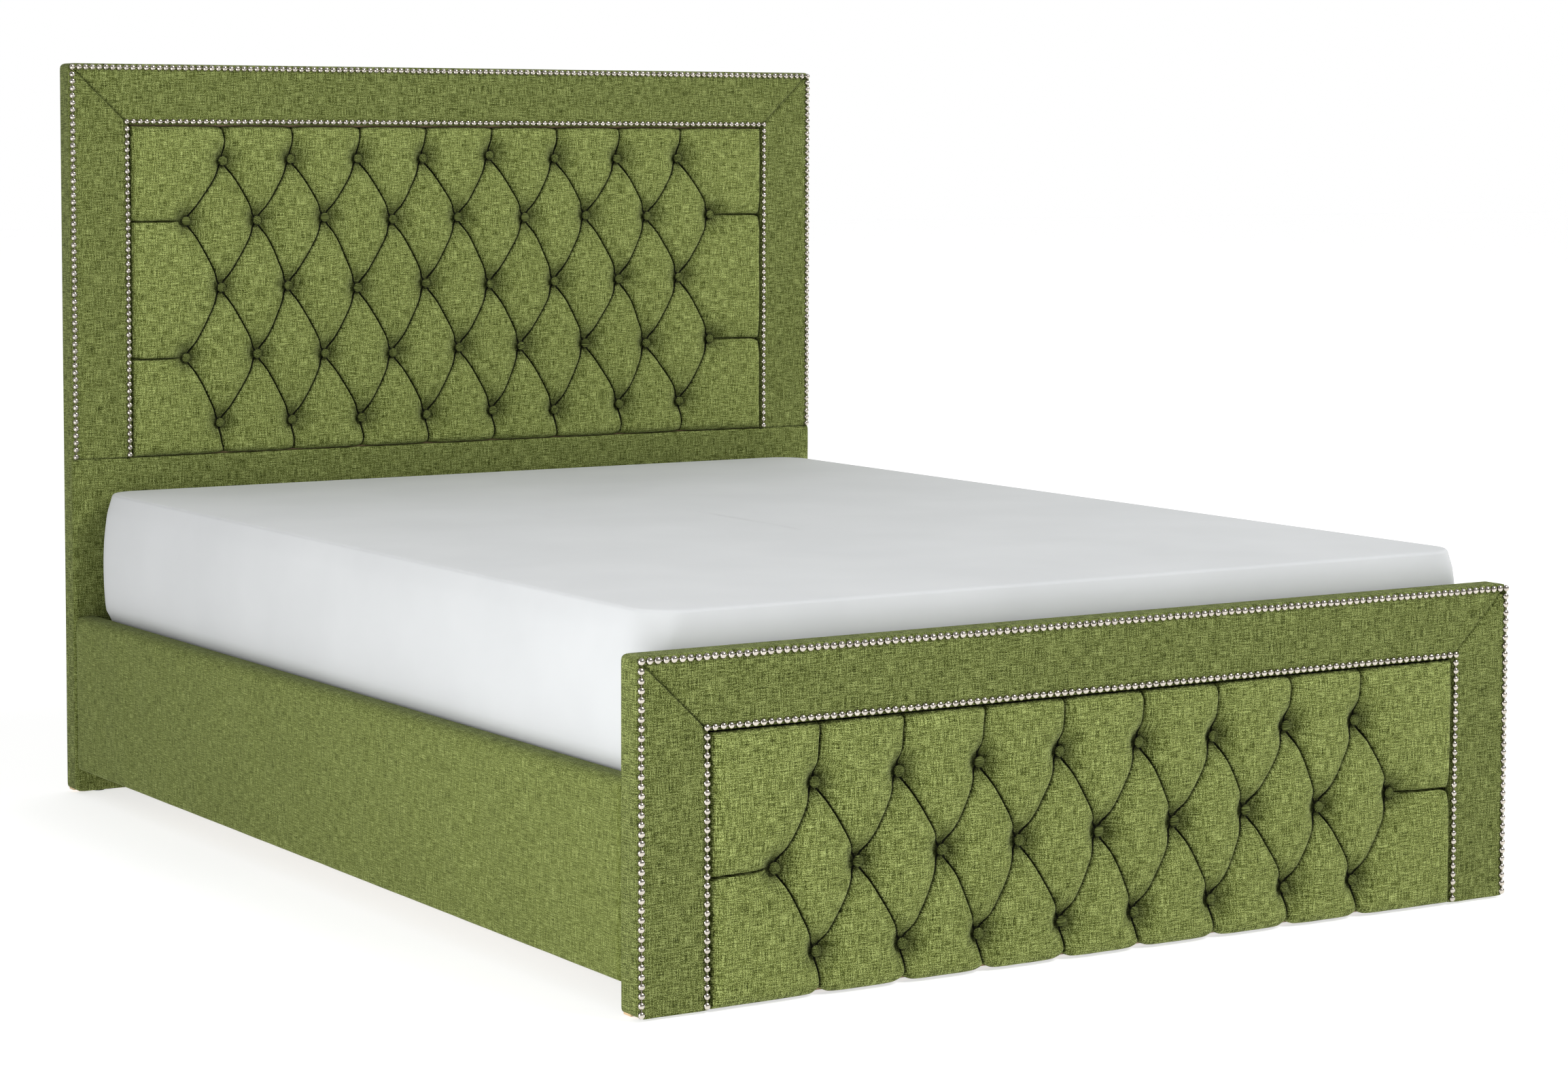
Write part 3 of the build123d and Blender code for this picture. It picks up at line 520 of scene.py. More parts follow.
def gather(x, z, pleats):
    """Draw the cloth sideways into the pleats, which leaves a narrow slit along each of them."""
    nearest = np.full(np.shape(x), 1.0)
    move_x, move_z = np.zeros(np.shape(x)), np.zeros(np.shape(x))
    for (ax, az), (bx, bz) in pleats:
        length = math.hypot(bx - ax, bz - az)
        ux, uz = (bx - ax) / length, (bz - az) / length
        t = ((x - ax) * ux + (z - az) * uz).clip(0, length)
        off_x, off_z = ax + t * ux - x, az + t * uz - z
        d = np.hypot(off_x, off_z)
        first = abs(uz) * COLUMN / STEPS if abs(uz) > 0.1 else EDGE_STEP
        share = ((d - 0.9 * first) / (SLIT_REACH - 0.9 * first)).clip(0, 1)
        wanted = SLIT_HALF_WIDTH + (SLIT_REACH - SLIT_HALF_WIDTH) * share
        draw = np.where((d > 0.1 * MM) & (d < SLIT_REACH), (d - wanted).clip(0, None) / d.clip(1e-6, None), 0)
        closer = d < nearest
        move_x = np.where(closer, off_x * draw, move_x)
        move_z = np.where(closer, off_z * draw, move_z)
        nearest = np.minimum(nearest, d)
    return move_x, move_z


def tuft_lines(rows, low, high, edge):
    """Mesh lines: X and Z values that pass exactly through every button and pleat."""
    half = int(round((rows[1][1] - 1) / 2)) * 2
    inner = np.arange(-half * STEPS, half * STEPS + 1) * COLUMN / STEPS
    outer_steps = int((edge - inner[-1]) / (COLUMN / STEPS))
    outer = np.linspace(inner[-1], edge, outer_steps + 1)[1:]
    xs = np.concatenate([-outer[::-1], inner, outer])
    heights = [z for z, _ in rows]
    top_steps = int((high - heights[0]) / EDGE_STEP)
    low_steps = int((heights[-1] - low) / EDGE_STEP)
    zs = [np.linspace(high, heights[0], top_steps + 1)]
    zs += [np.linspace(a, b, STEPS + 1)[1:] for a, b in zip(heights, heights[1:])]
    zs.append(np.linspace(heights[-1], low, low_steps + 1)[1:])
    return xs, np.concatenate(zs)


def tuft_faces(xs, zs, rows):
    """Triangles whose diagonals follow the pleats, and the number of the first back vertex."""
    columns = len(xs)
    heights = [z for z, _ in rows]
    faces = []
    middle_x = (xs[:-1] + xs[1:]) / 2
    middle_z = (zs[:-1] + zs[1:]) / 2
    across = np.floor(middle_x / COLUMN).astype(int)
    down = np.array([sum(h > z for h in heights) - 1 for z in middle_z])
    first_odd = (rows[0][1] - 1) % 2
    for i, row in enumerate(down):
        for j, column in enumerate(across):
            a = i * columns + j
            b, c, d = a + 1, a + columns + 1, a + columns
            if (column + row + first_odd) % 2 == 0:
                faces += [(a, b, c), (a, c, d)]
            else:
                faces += [(a, b, d), (b, c, d)]
    return faces


def tufted_pad(panel, rows, seed):
    """The deep-buttoned pad of one panel, and its buttons."""
    low_corner, high_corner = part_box(f"{panel}_tufted_pad")
    front = low_corner.y + CROWN
    board = high_corner.y
    low, high, edge = low_corner.z, high_corner.z, high_corner.x
    buttons, pleats = tuft_layout(rows, low, high, edge)
    xs, zs = tuft_lines(rows, low, high, edge)
    x, z = np.meshgrid(xs, zs)
    depth = tuft_depth(x, z, buttons, pleats, low, high, edge, seed)
    shift_x, shift_z = drift(x, z, buttons, seed)
    inside = np.minimum(np.minimum(z - low, high - z), edge - np.abs(x))
    hold = (inside / (20 * MM)).clip(0, 1)
    y = front - CROWN + depth
    # The fold and slit attributes carry painted shade: darker the deeper the cloth lies, along each pleat,
    # and in a ring round each button.
    to_button = np.min([np.hypot(x - bx, z - bz) for bx, bz in buttons], axis=0)
    button_shade_ring = ((BUTTON_RADIUS + BUTTON_SHADOW - to_button) / BUTTON_SHADOW).clip(0, 1)
    sideways = [pleat for pleat in pleats if pleat[0][1] == pleat[1][1]]
    slit = slit_mask(x, z, pleats) - 0.8 * slit_mask(x, z, sideways)
    slit = np.maximum(slit * (inside / (15 * MM)).clip(0.1, 1), 0.25 * button_shade_ring)
    painted_shades = {"fold": (depth / DEEPEST) ** 2, "slit": slit}
    draw_x, draw_z = gather(x, z, pleats)
    verts = np.stack([x + shift_x * hold + draw_x * hold, y, z + shift_z * hold + draw_z * hold], -1)
    scallop(verts, pleats, low, high, hold, 5 * MM if panel == "footboard" else 1 * MM)
    ring = grid_edge(*x.shape)
    back = verts.reshape(-1, 3)[ring]
    back[:, 1] = board
    faces = tuft_faces(xs, zs, rows)
    base, count = x.size, len(ring)
    for k, vertex in enumerate(ring):
        faces.append((vertex, base + k, base + (k + 1) % count, ring[(k + 1) % count]))
    faces.append(tuple(base + k for k in range(count)))
    everything = np.concatenate([verts.reshape(-1, 3), back])
    pad = new_object(f"{panel}_tufted_cloth", everything, faces, TUFTED_CLOTH)
    for name, shade in painted_shades.items():
        values = np.concatenate([shade.ravel(), np.ones(len(back))]).astype(np.float32)
        pad.data.attributes.new(name, "FLOAT", "POINT").data.foreach_set("value", values)
    set_uv(pad, everything[:, [0, 2]] + np.array([seed * 0.37, seed * 0.19]))
    finish_cloth(pad, f"{panel}_tufted_pad")
    places = np.array(buttons)
    moved_x, moved_z = drift(places[:, 0], places[:, 1], buttons, seed)
    tuft_buttons(panel, places + np.stack([moved_x, moved_z], -1), front, seed)
    return pad


def scallop(verts, pleats, low, high, hold, bottom_draw):
    """The pleats that reach the top and bottom edges draw those edges in."""
    for start, end in pleats:
        if end[1] not in (low, high):
            continue
        inward = 1 if end[1] == low else -1
        near = np.exp(-(((verts[..., 0] - end[0]) / (9 * MM)) ** 2))
        close = np.exp(-(np.abs(verts[..., 2] - end[1]) / (25 * MM)))
        draw = bottom_draw if end[1] == low else 1 * MM
        verts[..., 2] += inward * draw * near * close * (1 - hold)


def tuft_buttons(panel, places, front, seed):
    """Cloth-covered buttons: a domed top, a rolled edge and a flat back."""
    rng = np.random.default_rng(seed + 50)
    radius = BUTTON_RADIUS
    profile = [(0.0, 0.0), (0.3, 0.02), (0.55, 0.07), (0.75, 0.15), (0.9, 0.28), (0.98, 0.42)]
    profile += [(1.0, 0.56), (0.97, 0.7), (0.88, 0.78), (0.0, 0.8)]
    segments = 28
    verts, faces, uvs = [], [], []
    for place in places:
        tilt_x, tilt_z = rng.uniform(-0.09, 0.09, 2)
        turn = rng.uniform(0, math.pi)
        base = len(verts)
        for share, depth in profile:
            ring = 1 if share == 0 else segments
            for k in range(ring):
                angle = 2 * math.pi * k / segments
                ripple = 1 + 0.012 * math.sin(9 * angle + turn) * share
                dx = radius * share * ripple * math.cos(angle)
                dz = radius * share * ripple * math.sin(angle)
                y = front + BUTTON_SINK + depth * BUTTON_DOME * radius + tilt_x * dx + tilt_z * dz
                verts.append((place[0] + dx, y, place[1] + dz))
                uvs.append((dx * math.cos(turn) + dz * math.sin(turn) + place[0], dz + place[1]))
        first = base + 1
        faces += [(base, first + k, first + (k + 1) % segments) for k in range(segments)]
        for ring in range(len(profile) - 3):
            a, b = first + ring * segments, first + (ring + 1) * segments
            faces += [(a + k, b + k, b + (k + 1) % segments, a + (k + 1) % segments) for k in range(segments)]
        last = first + (len(profile) - 3) * segments
        end = last + segments
        faces += [(last + k, end, last + (k + 1) % segments) for k in range(segments)]
    piece = new_object(f"{panel}_covered_buttons", verts, faces, SHADED_BUTTON_CLOTH)
    set_uv(piece, uvs)
    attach(piece, FRAME_BODY)
    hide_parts(f"{panel}_buttons")
    return piece


def finish_cloth(piece, node):
    """A padded piece of green cloth that stands for a CAD node of the bed frame."""
    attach(piece, FRAME_BODY)
    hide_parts(node)


# ---- nail heads --------------------------------------------------------------------------------


def nail_places(panel, which):
    """Every nail head of a trim: up one side, along the top and down the other, as in the CAD part."""
    low_corner, high_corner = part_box(f"{panel}_{which}_nail_trim")
    x, top = high_corner.x - NAIL_RADIUS, high_corner.z - NAIL_RADIUS
    bottom = low_corner.z + NAIL_RADIUS
    below = top - NAIL_PITCH
    runs = [((-x, bottom), (-x, below)), ((-x, top), (x, top)), ((x, bottom), (x, below))]
    places = []
    for start, end in runs:
        length = math.hypot(end[0] - start[0], end[1] - start[1])
        count = round(length / NAIL_PITCH) + 1
        xs, zs = np.linspace(start[0], end[0], count), np.linspace(start[1], end[1], count)
        places.append(list(zip(xs, zs)))
    return places, high_corner.y


def nail_head(x, z, front, tilt_x, tilt_z):
    """Points of one head, ring by ring from its foot to its top, and how far into its edge each is."""
    points, edge = [], []
    for angle_up in NAIL_PROFILE:
        out, up = math.sin(math.radians(angle_up)), math.cos(math.radians(angle_up))
        for k in range(NAIL_SEGMENTS):
            angle = 2 * math.pi * k / NAIL_SEGMENTS
            dx, dz = NAIL_RADIUS * out * math.cos(angle), NAIL_RADIUS * out * math.sin(angle)
            y = front - NAIL_RISE * up + (tilt_x * dx + tilt_z * dz) * up + NAIL_SUNK
            points.append((x + dx, y, z + dz))
            # edge darkens the foot of the head: real patina, with painted shade and dark reflection
            edge.append(max(0.0, 1 - up / 0.5))
    return points, edge


def nail_head_faces(first):
    """Side quads between the rings, then the top and the foot."""
    faces = []
    for ring in range(len(NAIL_PROFILE) - 1):
        a, b = first + ring * NAIL_SEGMENTS, first + (ring + 1) * NAIL_SEGMENTS
        for k in range(NAIL_SEGMENTS):
            after = (k + 1) % NAIL_SEGMENTS
            faces.append((a + k, a + after, b + after, b + k))
    last = first + (len(NAIL_PROFILE) - 1) * NAIL_SEGMENTS
    faces.append(tuple(last + k for k in range(NAIL_SEGMENTS)))
    faces.append(tuple(first + k for k in range(NAIL_SEGMENTS)))
    return faces


def nail_link(start, end, front):
    """Points of the thin three-sided link between two heads."""
    wide_x, wide_z = (0, LINK_HALF) if start[1] == end[1] else (LINK_HALF, 0)
    points = []
    for x, z in (start, end):
        for sign in (-1, 1):
            points.append((x + sign * wide_x, front + NAIL_SUNK, z + sign * wide_z))
        points.append((x, front - LINK_RISE, z))
    return points


def nail_heads(panel, which, seed):
    """Round polished heads, each pressed in at a slightly different slant, with thin links between."""
    rng = np.random.default_rng(seed)
    runs, front = nail_places(panel, which)
    verts, faces, edge = [], [], []
    for points in runs:
        for x, z in points:
            tilt_x, tilt_z = rng.uniform(-0.12, 0.12, 2)
            off_x, off_z = rng.uniform(-0.3, 0.3, 2) * MM
            faces += nail_head_faces(len(verts))
            head, head_edge = nail_head(x + off_x, z + off_z, front, tilt_x, tilt_z)
            verts += head
            edge += head_edge
        for start, end in zip(points, points[1:]):
            a, b = len(verts), len(verts) + 3
            faces += [(a, a + 2, b + 2, b), (a + 2, a + 1, b + 1, b + 2), (a + 1, a, b, b + 1)]
            faces += [(a, a + 1, a + 2), (b, b + 2, b + 1)]
            verts += nail_link(start, end, front)
            # the links are darkened as well: painted shade between the heads, with real patina
            edge += [0.6] * 6
    piece = new_object(f"{panel}_{which}_nail_heads", verts, faces, NICKEL)
    attribute = piece.data.attributes.new("edge", "FLOAT", "POINT")
    attribute.data.foreach_set("value", np.array(edge, np.float32))
    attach(piece, FRAME_BODY)
    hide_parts(f"{panel}_{which}_nail_trim")


def round_corners(piece, panel):
    """Round a panel's upper and lower corners, seen from the front, where the cloth is pulled over."""
    mesh = piece.data
    verts = np.empty(len(mesh.vertices) * 3)
    mesh.vertices.foreach_get("co", verts)
    x, y, z = verts.reshape(-1, 3).T
    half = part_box(f"{panel}_border_top")[1].x
    out_x = (np.abs(x) - half + CORNER_RADIUS).clip(0, None)
    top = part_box(f"{panel}_border_top")[1].z
    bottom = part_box(f"{panel}_back_cover")[0].z
    for edge, away in ((top, 1), (bottom, -1)):
        out_z = ((z - edge) * away + CORNER_RADIUS).clip(0, None)
        beyond = np.hypot(out_x, out_z)
        outside = (out_x > 0) & (out_z > 0) & (beyond > CORNER_RADIUS)
        share = CORNER_RADIUS / beyond.clip(CORNER_RADIUS, None)
        x = np.where(outside, np.sign(x) * (half - CORNER_RADIUS + out_x * share), x)
        z = np.where(outside, edge + away * (out_z * share - CORNER_RADIUS), z)
    mesh.vertices.foreach_set("co", np.stack([x, y, z], -1).ravel())
    mesh.update()


# ---- borders, lower pad, back covers -----------------------------------------------------------

EDGE_RADIUS = 7 * MM


def border_section(front, back, width):
    """Outline of a border strip: distance in from the panel's edge, and Y."""
    inner = width - 0.5 * MM
    wrap = 4.2 * MM
    outline = [(wrap, back - 0.5 * MM), (2.5 * MM, back + 1.6 * MM)]
    outline += arc((3 * MM, back - 1.4 * MM), 3 * MM, 90, 180, 5)
    outline += arc((EDGE_RADIUS, front + EDGE_RADIUS), EDGE_RADIUS, 180, 270, 8)
    outline += arc((inner - EDGE_RADIUS, front + EDGE_RADIUS), EDGE_RADIUS, 270, 360, 8)
    outline += [(inner, front + PADDING - 1 * MM), (wrap, front + PADDING - 1 * MM)]
    return dense(outline, 5 * MM)


def mitre_steps(length, step):
    """Shares of the length, closer together at both ends, where the seams pull the cloth in."""
    close = np.array([0, 1, 2, 3.5, 5.5, 8.5, 13]) * MM / length
    middle = np.linspace(close[-1], 1 - close[-1], max(3, int(length / step)))[1:-1]
    return np.concatenate([close, middle, 1 - close[::-1]])


def border_relief(d, width, along, to_seam, front, y, seed):
    """How far the cloth of a border sinks: at its seams, under its nails, and a little everywhere."""
    on_front = np.exp(-(((y - front) / (6 * MM)) ** 2))
    seam = 4.5 * MM * np.exp(-((to_seam / (2 * MM)) ** 2)) + 1.5 * MM * np.exp(-((to_seam / (10 * MM)) ** 2))
    outer_nails = np.exp(-(((d - NAIL_INSET) / (6 * MM)) ** 2))
    inner_nails = np.exp(-(((d - width + INNER_NAIL_INSET) / (6 * MM)) ** 2))
    nails = 0.9 * MM * (outer_nails + inner_nails)
    soft = 0.7 * MM * waves(along, d, seed, 90 * MM)
    return on_front * (seam + nails + np.maximum(soft, -0.5 * MM))


def border_strip(panel, which, seed):
    """One mitred strip of a border, swept along its length."""
    low_corner, high_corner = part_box(f"{panel}_border_{which}")
    front, back, top = low_corner.y, high_corner.y, high_corner.z
    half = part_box(f"{panel}_border_top")[1].x
    width, other = (BORDER_TOP, BORDER_SIDE) if which == "top" else (BORDER_SIDE, BORDER_TOP)
    section = np.array(border_section(front, back, width))
    d, y = section[:, 0], section[:, 1]
    cut = d * other / width  # how much shorter the strip is at each distance in, for its mitre
    girth = along_outline(section)
    loops, uvs = [], []
    length = 2 * half if which == "top" else top - low_corner.z
    for t in mitre_steps(length, 9 * MM):
        if which == "top":
            x = -(half - cut) + 2 * (half - cut) * t
            z = top - d
            to_seam = np.minimum(t, 1 - t) * 2 * (half - cut) * 0.7071
            along = x
        else:
            side = -1 if which == "left" else 1
            z = low_corner.z + (top - cut - low_corner.z) * t
            x = side * (half - d)
            to_top = (1 - t) * (top - cut - low_corner.z) * 0.7071
            to_seam = np.minimum(to_top, t * length) if panel == "headboard" else to_top
            along = z
        sunk = y + border_relief(d, width, along, to_seam, front, y, seed)
        loops.append(np.stack([x + 0 * d, sunk, z + 0 * d], -1))
        uvs.append(np.stack([girth, along + 0 * d], -1) if which != "top" else np.stack([along, girth], -1))
    piece = sweep(f"{panel}_border_cloth_{which}", loops, np.array(uvs) + seed * 0.23, CLOTH)
    round_corners(piece, panel)
    finish_cloth(piece, f"{panel}_border_{which}")
    return piece


def lower_pad():
    """The headboard's plain part, one piece of cloth round the front and both sides."""
    low_corner, high_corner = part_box("headboard_lower_pad")
    front, back, half = low_corner.y, high_corner.y, high_corner.x
    corner = EDGE_RADIUS
    outline = [(-half + 4.2 * MM, back - 0.5 * MM), (-half + 2.5 * MM, back + 1.6 * MM)]
    outline += arc((-half + 3 * MM, back - 1.4 * MM), 3 * MM, 90, 180, 5)
    outline += arc((-half + corner, front + corner), corner, 180, 270, 8)
    outline += arc((half - corner, front + corner), corner, 270, 360, 8)
    outline += arc((half - 3 * MM, back - 1.4 * MM), 3 * MM, 0, 90, 5)
    outline += [(half - 2.5 * MM, back + 1.6 * MM), (half - 4.2 * MM, back - 0.5 * MM)]
    inner = front + PADDING - 1 * MM
    outline += [(half - 4.2 * MM, inner), (-half + 4.2 * MM, inner)]
    section = np.array(dense(outline, 9 * MM))
    girth = along_outline(section)
    x, y = section[:, 0], section[:, 1]
    length = high_corner.z - low_corner.z
    loops, uvs = [], []
    for t in mitre_steps(length, 9 * MM):
        z = low_corner.z + length * t
        on_front = np.exp(-(((y - front) / (6 * MM)) ** 2))
        seam = 3.2 * MM * math.exp(-(((1 - t) * length / (3 * MM)) ** 2))
        hem = 3 * MM * math.exp(-((t * length / (3 * MM)) ** 2))
        soft = 0.6 * MM * waves(x, z, 71, 160 * MM)
        loops.append(np.stack([x, y + on_front * (seam + hem + np.maximum(soft, -0.4 * MM)), z + 0 * x], -1))
        uvs.append(np.stack([girth, z + 0 * x], -1))
    piece = sweep("headboard_lower_cloth", loops, uvs, CLOTH)
    round_corners(piece, "headboard")
    finish_cloth(piece, "headboard_lower_pad")
    return piece


def back_cover(panel, seed):
    """Cloth stretched over the back of a panel, turned in and stapled near the edges."""
    low_corner, high_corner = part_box(f"{panel}_back_cover")
    inset = 3 * MM
    half, back = high_corner.x - inset, high_corner.y
    low, high = low_corner.z + inset, high_corner.z - inset
    xs = np.linspace(-half, half, 201)
    zs = np.linspace(low, high, max(8, int((high - low) / (9 * MM))))
    x, z = np.meshgrid(xs, zs)
    rim = np.minimum(np.minimum(z - low, high - z), half - np.abs(x))
    roll = 1.2 * MM * np.exp(-(((rim - 5 * MM) / (4 * MM)) ** 2))
    scale = np.hypot(x / half, 2 * (z - low) / (high - low) - 1)
    sag = 0.5 * MM * waves(x, z, seed, 260 * MM) * (1 - scale / 2)
    y = back - 1.2 * MM + roll + sag.clip(-0.5 * MM, 0.5 * MM)
    front_verts = np.stack([x, y, z], -1)
    rear_verts = front_verts.copy()
    rear_verts[..., 1] = low_corner.y
    rows, columns = x.shape
    base = x.size
    faces = []
    for offset in (0, base):
        for i in range(rows - 1):
            a = offset + i * columns
            faces += [(a + j, a + j + 1, a + columns + j + 1, a + columns + j) for j in range(columns - 1)]
    ring = grid_edge(rows, columns)
    faces += [(a, b, base + b, base + a) for a, b in zip(ring, ring[1:] + ring[:1])]
    verts = np.concatenate([front_verts.reshape(-1, 3), rear_verts.reshape(-1, 3)])
    piece = new_object(f"{panel}_back_cloth", verts, faces, CLOTH)
    set_uv(piece, verts[:, [0, 2]] + 0.61 * seed)
    round_corners(piece, panel)
    finish_cloth(piece, f"{panel}_back_cover")
    return piece


# ---- side rails --------------------------------------------------------------------------------


def rail_cover(which, seed):
    """Padded cloth round a side rail, fuller along the top outer edge."""
    low_corner, high_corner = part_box(f"side_rail_{which}_cover")
    side = -1 if which == "left" else 1
    inner, outer = (high_corner.x, low_corner.x) if side < 0 else (low_corner.x, high_corner.x)
    thick = abs(outer - inner)
    low, high = low_corner.z, high_corner.z
    outline = arc((thick - 7 * MM, low + 7 * MM), 7 * MM, -90, 0, 6)
    outline += arc((thick - 18 * MM, high - 18 * MM), 18 * MM, 0, 90, 10)
    outline += arc((7 * MM, high - 7 * MM), 7 * MM, 90, 180, 6)
    outline += arc((4 * MM, low + 4 * MM), 4 * MM, 180, 270, 4)
    section = np.array(dense(outline, 8 * MM))
    girth = along_outline(section)
    reach, z = section[:, 0], section[:, 1]
    length = high_corner.y - low_corner.y
    loops, uvs = [], []
    for t in mitre_steps(length, 10 * MM):
        y = low_corner.y + length * t
        on_face = (reach / thick) ** 6
        end = min(t, 1 - t) * length
        turn = 7 * MM * math.exp(-((end / (5 * MM)) ** 2))
        soft = 0.8 * MM * waves(y + 0 * z, z, seed, 200 * MM)
        x = inner + side * (reach + on_face * (np.minimum(soft, 0.6 * MM) - turn - 0.6 * MM))
        drop = np.where(z > high - 2 * MM, turn * 0.7, 0)
        loops.append(np.stack([x, y + 0 * z, z - drop], -1))
        uvs.append(np.stack([y + 0 * z, girth], -1))
    piece = sweep(f"side_rail_cloth_{which}", loops, np.array(uvs) + 0.13 * seed, RAIL_CLOTH)
    finish_cloth(piece, f"side_rail_{which}_cover")
    return piece


# ---- mattress ----------------------------------------------------------------------------------


def rounded_ring(half_x, half_y, radius):
    """Points round the four corners of a rounded rectangle."""
    radius = max(radius, 0.5 * MM)
    points = []
    for sx, sy, start in ((1, 1, 0), (-1, 1, 90), (-1, -1, 180), (1, -1, 270)):
        centre = (sx * (half_x - radius), sy * (half_y - radius))
        points += arc(centre, radius, start, start + 90, PER_CORNER)
    return points


def mattress_rings(low_corner, high_corner, inset, flange):
    """Rings from the underside's flange, up the bulging sides and across the crowned top."""
    half_x, half_y = high_corner.x - inset, high_corner.y - inset
    low, high = low_corner.z + inset, high_corner.z - inset
    tall = high - low
    levels = [(flange, 0.0), (UNDERSIDE_RING, 0.0)]
    small = MATTRESS_EDGE / 2
    for a in np.radians([0, 25, 50, 75]):
        levels.append((small * (1 - math.sin(a)), small * (1 - math.cos(a))))
    for share in np.linspace(0.08, 0.9, 22):
        above_rail = min(1, max(0, (share * tall - BULGE_FROM) / BULGE_RAMP))
        levels.append((-MATTRESS_BULGE * above_rail * math.sin(math.pi * share) ** 0.7, share * tall))
    for a in np.radians(range(10, 91, 10)):
        levels.append((MATTRESS_EDGE * (1 - math.cos(a)), tall - MATTRESS_EDGE * (1 - math.sin(a))))
    levels += [(shrink, tall) for shrink in np.geomspace(34 * MM, half_x - 2 * MM, 26)]
    return half_x, half_y, low, levels


def mattress_surface(name, inset, flange, material, closed):
    """The mattress's skin as rings, closed underneath or open inside the flange."""
    low_corner, high_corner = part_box("mattress_cover")
    half_x, half_y, low, levels = mattress_rings(low_corner, high_corner, inset, flange)
    rings = []
    for shrink, height in levels:
        corners = rounded_ring(half_x - shrink, half_y - shrink, MATTRESS_CORNER - shrink)
        ring = []
        for k in range(4):
            after = (k + 1) * PER_CORNER
            ring += corners[after - PER_CORNER : after]
            start, end = corners[after - 1], corners[after % len(corners)]
            for i in range(1, PER_SIDE):
                t = i / PER_SIDE
                ring.append((start[0] + (end[0] - start[0]) * t, start[1] + (end[1] - start[1]) * t))
        ring = np.array(ring)
        x, y = ring[:, 0], ring[:, 1]
        on_top = max(0.0, min(1.0, (shrink - 12 * MM) / (120 * MM))) * (height > 0.1)
        z = low + height + on_top * (1.6 * MM * waves(x, y, 5, 700 * MM) + 1.5 * MM)
        if 0.02 < height < 0.25:
            push = 1.2 * MM * waves(x + y, np.full_like(x, height), 9, 420 * MM)
            x, y = x * (1 + push / half_x), y * (1 + push / half_y)
        y = y.clip(-half_y, half_y)
        rings.append(np.stack([x, y, z + 0 * x], -1))
    rings = np.array(rings)
    number = rings.shape[1]
    faces = []
    for i in range(len(rings) - 1):
        a, b = i * number, (i + 1) * number
        faces += [(a + j, a + (j + 1) % number, b + (j + 1) % number, b + j) for j in range(number)]
    faces.append(tuple((len(rings) - 1) * number + j for j in range(number)))
    if closed:
        faces.append(tuple(range(number)))
    piece = new_object(name, rings.reshape(-1, 3), faces, material)
    set_uv(piece, rings.reshape(-1, 3)[:, :2])
    return piece


def mattress():
    """The mattress's body, and the fitted cover stretched over it and turned under."""
    body = mattress_surface("mattress_body", 2.5 * MM, 40 * MM, TICKING, closed=True)
    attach(body, MATTRESS_BODY)
    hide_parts("mattress_core")
    cover = mattress_surface("mattress_fitted_cover", 0, FLANGE, WHITE, closed=False)
    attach(cover, MATTRESS_BODY)
    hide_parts("mattress_cover")


# ---- materials of the CAD nodes that stay visible ----------------------------------------------


def paint_nodes():
    """Give every carried-over CAD node its own finish."""
    by_slot = {
        "nickel": NICKEL,
        "black_steel": BLACK_STEEL,
        "zinc_steel": ZINC,
        "black_plastic": PLASTIC,
        "slat_birch": BIRCH,
        "plywood": PINE_X,
    }
    slots = {s["node"]: s["material_slot"] for s in frame["record"]["subparts"]}
    for node, piece in frame["nodes"].items():
        material = by_slot.get(slots[node])
        if slots[node] == "timber":
            low_corner, high_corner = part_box(node)
            size = high_corner - low_corner
            longest = max(range(3), key=lambda i: size[i])
            material = (PINE_X, PINE_Y, PINE_Z)[longest]
        if material:
            piece.data.materials.clear()
            piece.data.materials.append(material)


# ---- studio ------------------------------------------------------------------------------------


def camera():
    cos_pitch, sin_pitch = math.cos(CAMERA_PITCH), math.sin(CAMERA_PITCH)
    forward = Vector((math.sin(CAMERA_YAW) * cos_pitch, math.cos(CAMERA_YAW) * cos_pitch, sin_pitch))
    right = Vector((math.cos(CAMERA_YAW), -math.sin(CAMERA_YAW), 0))
    up = right.cross(forward)
    right, up = (
        math.cos(CAMERA_ROLL) * right + math.sin(CAMERA_ROLL) * up,
        math.cos(CAMERA_ROLL) * up - math.sin(CAMERA_ROLL) * right,
    )
    turn = Matrix((right, up, -forward)).transposed().to_4x4()
    data = bpy.data.cameras.new("camera")
    data.lens = CAMERA_LENS
    data.sensor_width = 36
    data.shift_y = CAMERA_SHIFT
    data.clip_end = 100
    eye = bpy.data.objects.new("camera", data)
    eye.matrix_world = Matrix.Translation(CAMERA_PLACE) @ turn
    bpy.context.scene.collection.objects.link(eye)
    bpy.context.scene.camera = eye


def area_light(name, place, target, size, power):
    data = bpy.data.lights.new(name, "AREA")
    data.shape = "RECTANGLE"
    data.size, data.size_y = size
    data.energy = power
    lamp = bpy.data.objects.new(name, data)
    lamp.location = place
    lamp.rotation_euler = (Vector(target) - Vector(place)).to_track_quat("-Z", "Y").to_euler()
    bpy.context.scene.collection.objects.link(lamp)


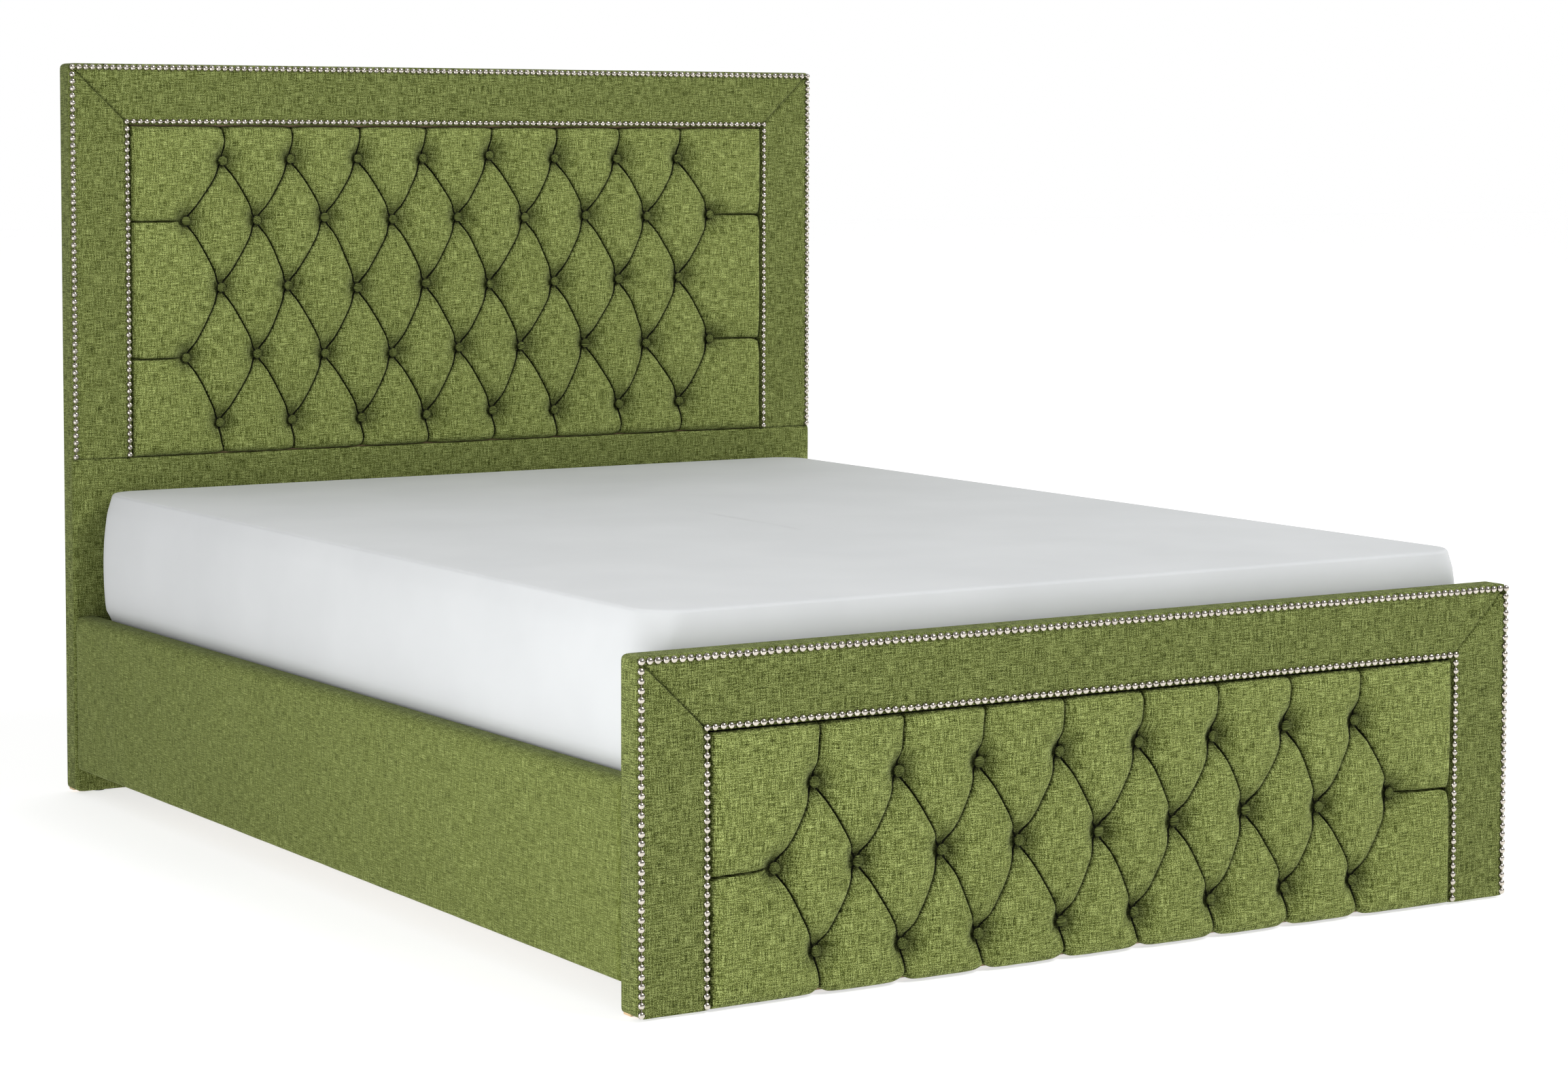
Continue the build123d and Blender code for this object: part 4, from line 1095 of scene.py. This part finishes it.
def sky():
    """A plain white backdrop behind the bed, and a dimmer room on the other sides."""
    world = bpy.data.worlds.new("studio")
    bpy.context.scene.world = world
    world.use_nodes = True
    tree = world.node_tree
    direction = tree.nodes.new("ShaderNodeTexCoord")
    parts = tree.nodes.new("ShaderNodeSeparateXYZ")
    tree.links.new(direction.outputs["Generated"], parts.inputs["Vector"])
    fade = tree.nodes.new("ShaderNodeMapRange")
    tree.links.new(parts.outputs["Y"], fade.inputs["Value"])
    for key, value in (("From Min", 0.0), ("From Max", 0.4), ("To Min", SKY_ROOM), ("To Max", SKY_BACKDROP)):
        fade.inputs[key].default_value = value
    backdrop = tree.nodes["Background"]
    backdrop.inputs["Color"].default_value = (1, 1, 1, 1)
    tree.links.new(fade.outputs["Result"], backdrop.inputs["Strength"])


def studio():
    """Sky, two soft lights, and a plain pale floor that glows a little to keep its shadows light."""
    sky()
    bpy.context.scene.view_settings.view_transform = "Standard"
    area_light("key", place=(5.2, -7.8, 9.4), target=(0, 0, 0.5), size=(5.2, 5.2), power=1390)
    area_light("side", place=(-3.0, -1.5, 0.7), target=(-0.8, -0.9, 0.2), size=(1.2, 1.2), power=42)
    n = Nodes("floor")
    tone = n.noise(n.coordinates("Object", (3, 3, 3)), detail=2)
    n.link(n.ramp(tone, [(0.3, (0.56,) * 3), (0.7, (0.58,) * 3)]), n.shader.inputs["Base Color"])
    n.set(Roughness=0.9, Specular_IOR_Level=0.1, Emission_Strength=FLOOR_GLOW)
    n.shader.inputs["Emission Color"].default_value = (1, 1, 1, 1)
    corners = [(x * FLOOR_REACH, y * FLOOR_REACH, 0) for x, y in ((-1, -1), (1, -1), (1, 1), (-1, 1))]
    floor = new_object("floor", corners, [(0, 1, 2, 3)], n.material, smooth=False)


# ---- the scene ---------------------------------------------------------------------------------

camera()
studio()
paint_nodes()
tufted_pad("headboard", HEAD_ROWS, 3)
tufted_pad("footboard", FOOT_ROWS, 8)
for number, panel_name in enumerate(("headboard", "footboard")):
    for step, strip in enumerate(("left", "top", "right")):
        border_strip(panel_name, strip, 11 + 3 * number + step)
    back_cover(panel_name, 31 + number)
    nail_heads(panel_name, "outer", 51 + number)
    nail_heads(panel_name, "inner", 61 + number)
lower_pad()
rail_cover("left", 41)
rail_cover("right", 42)
mattress()
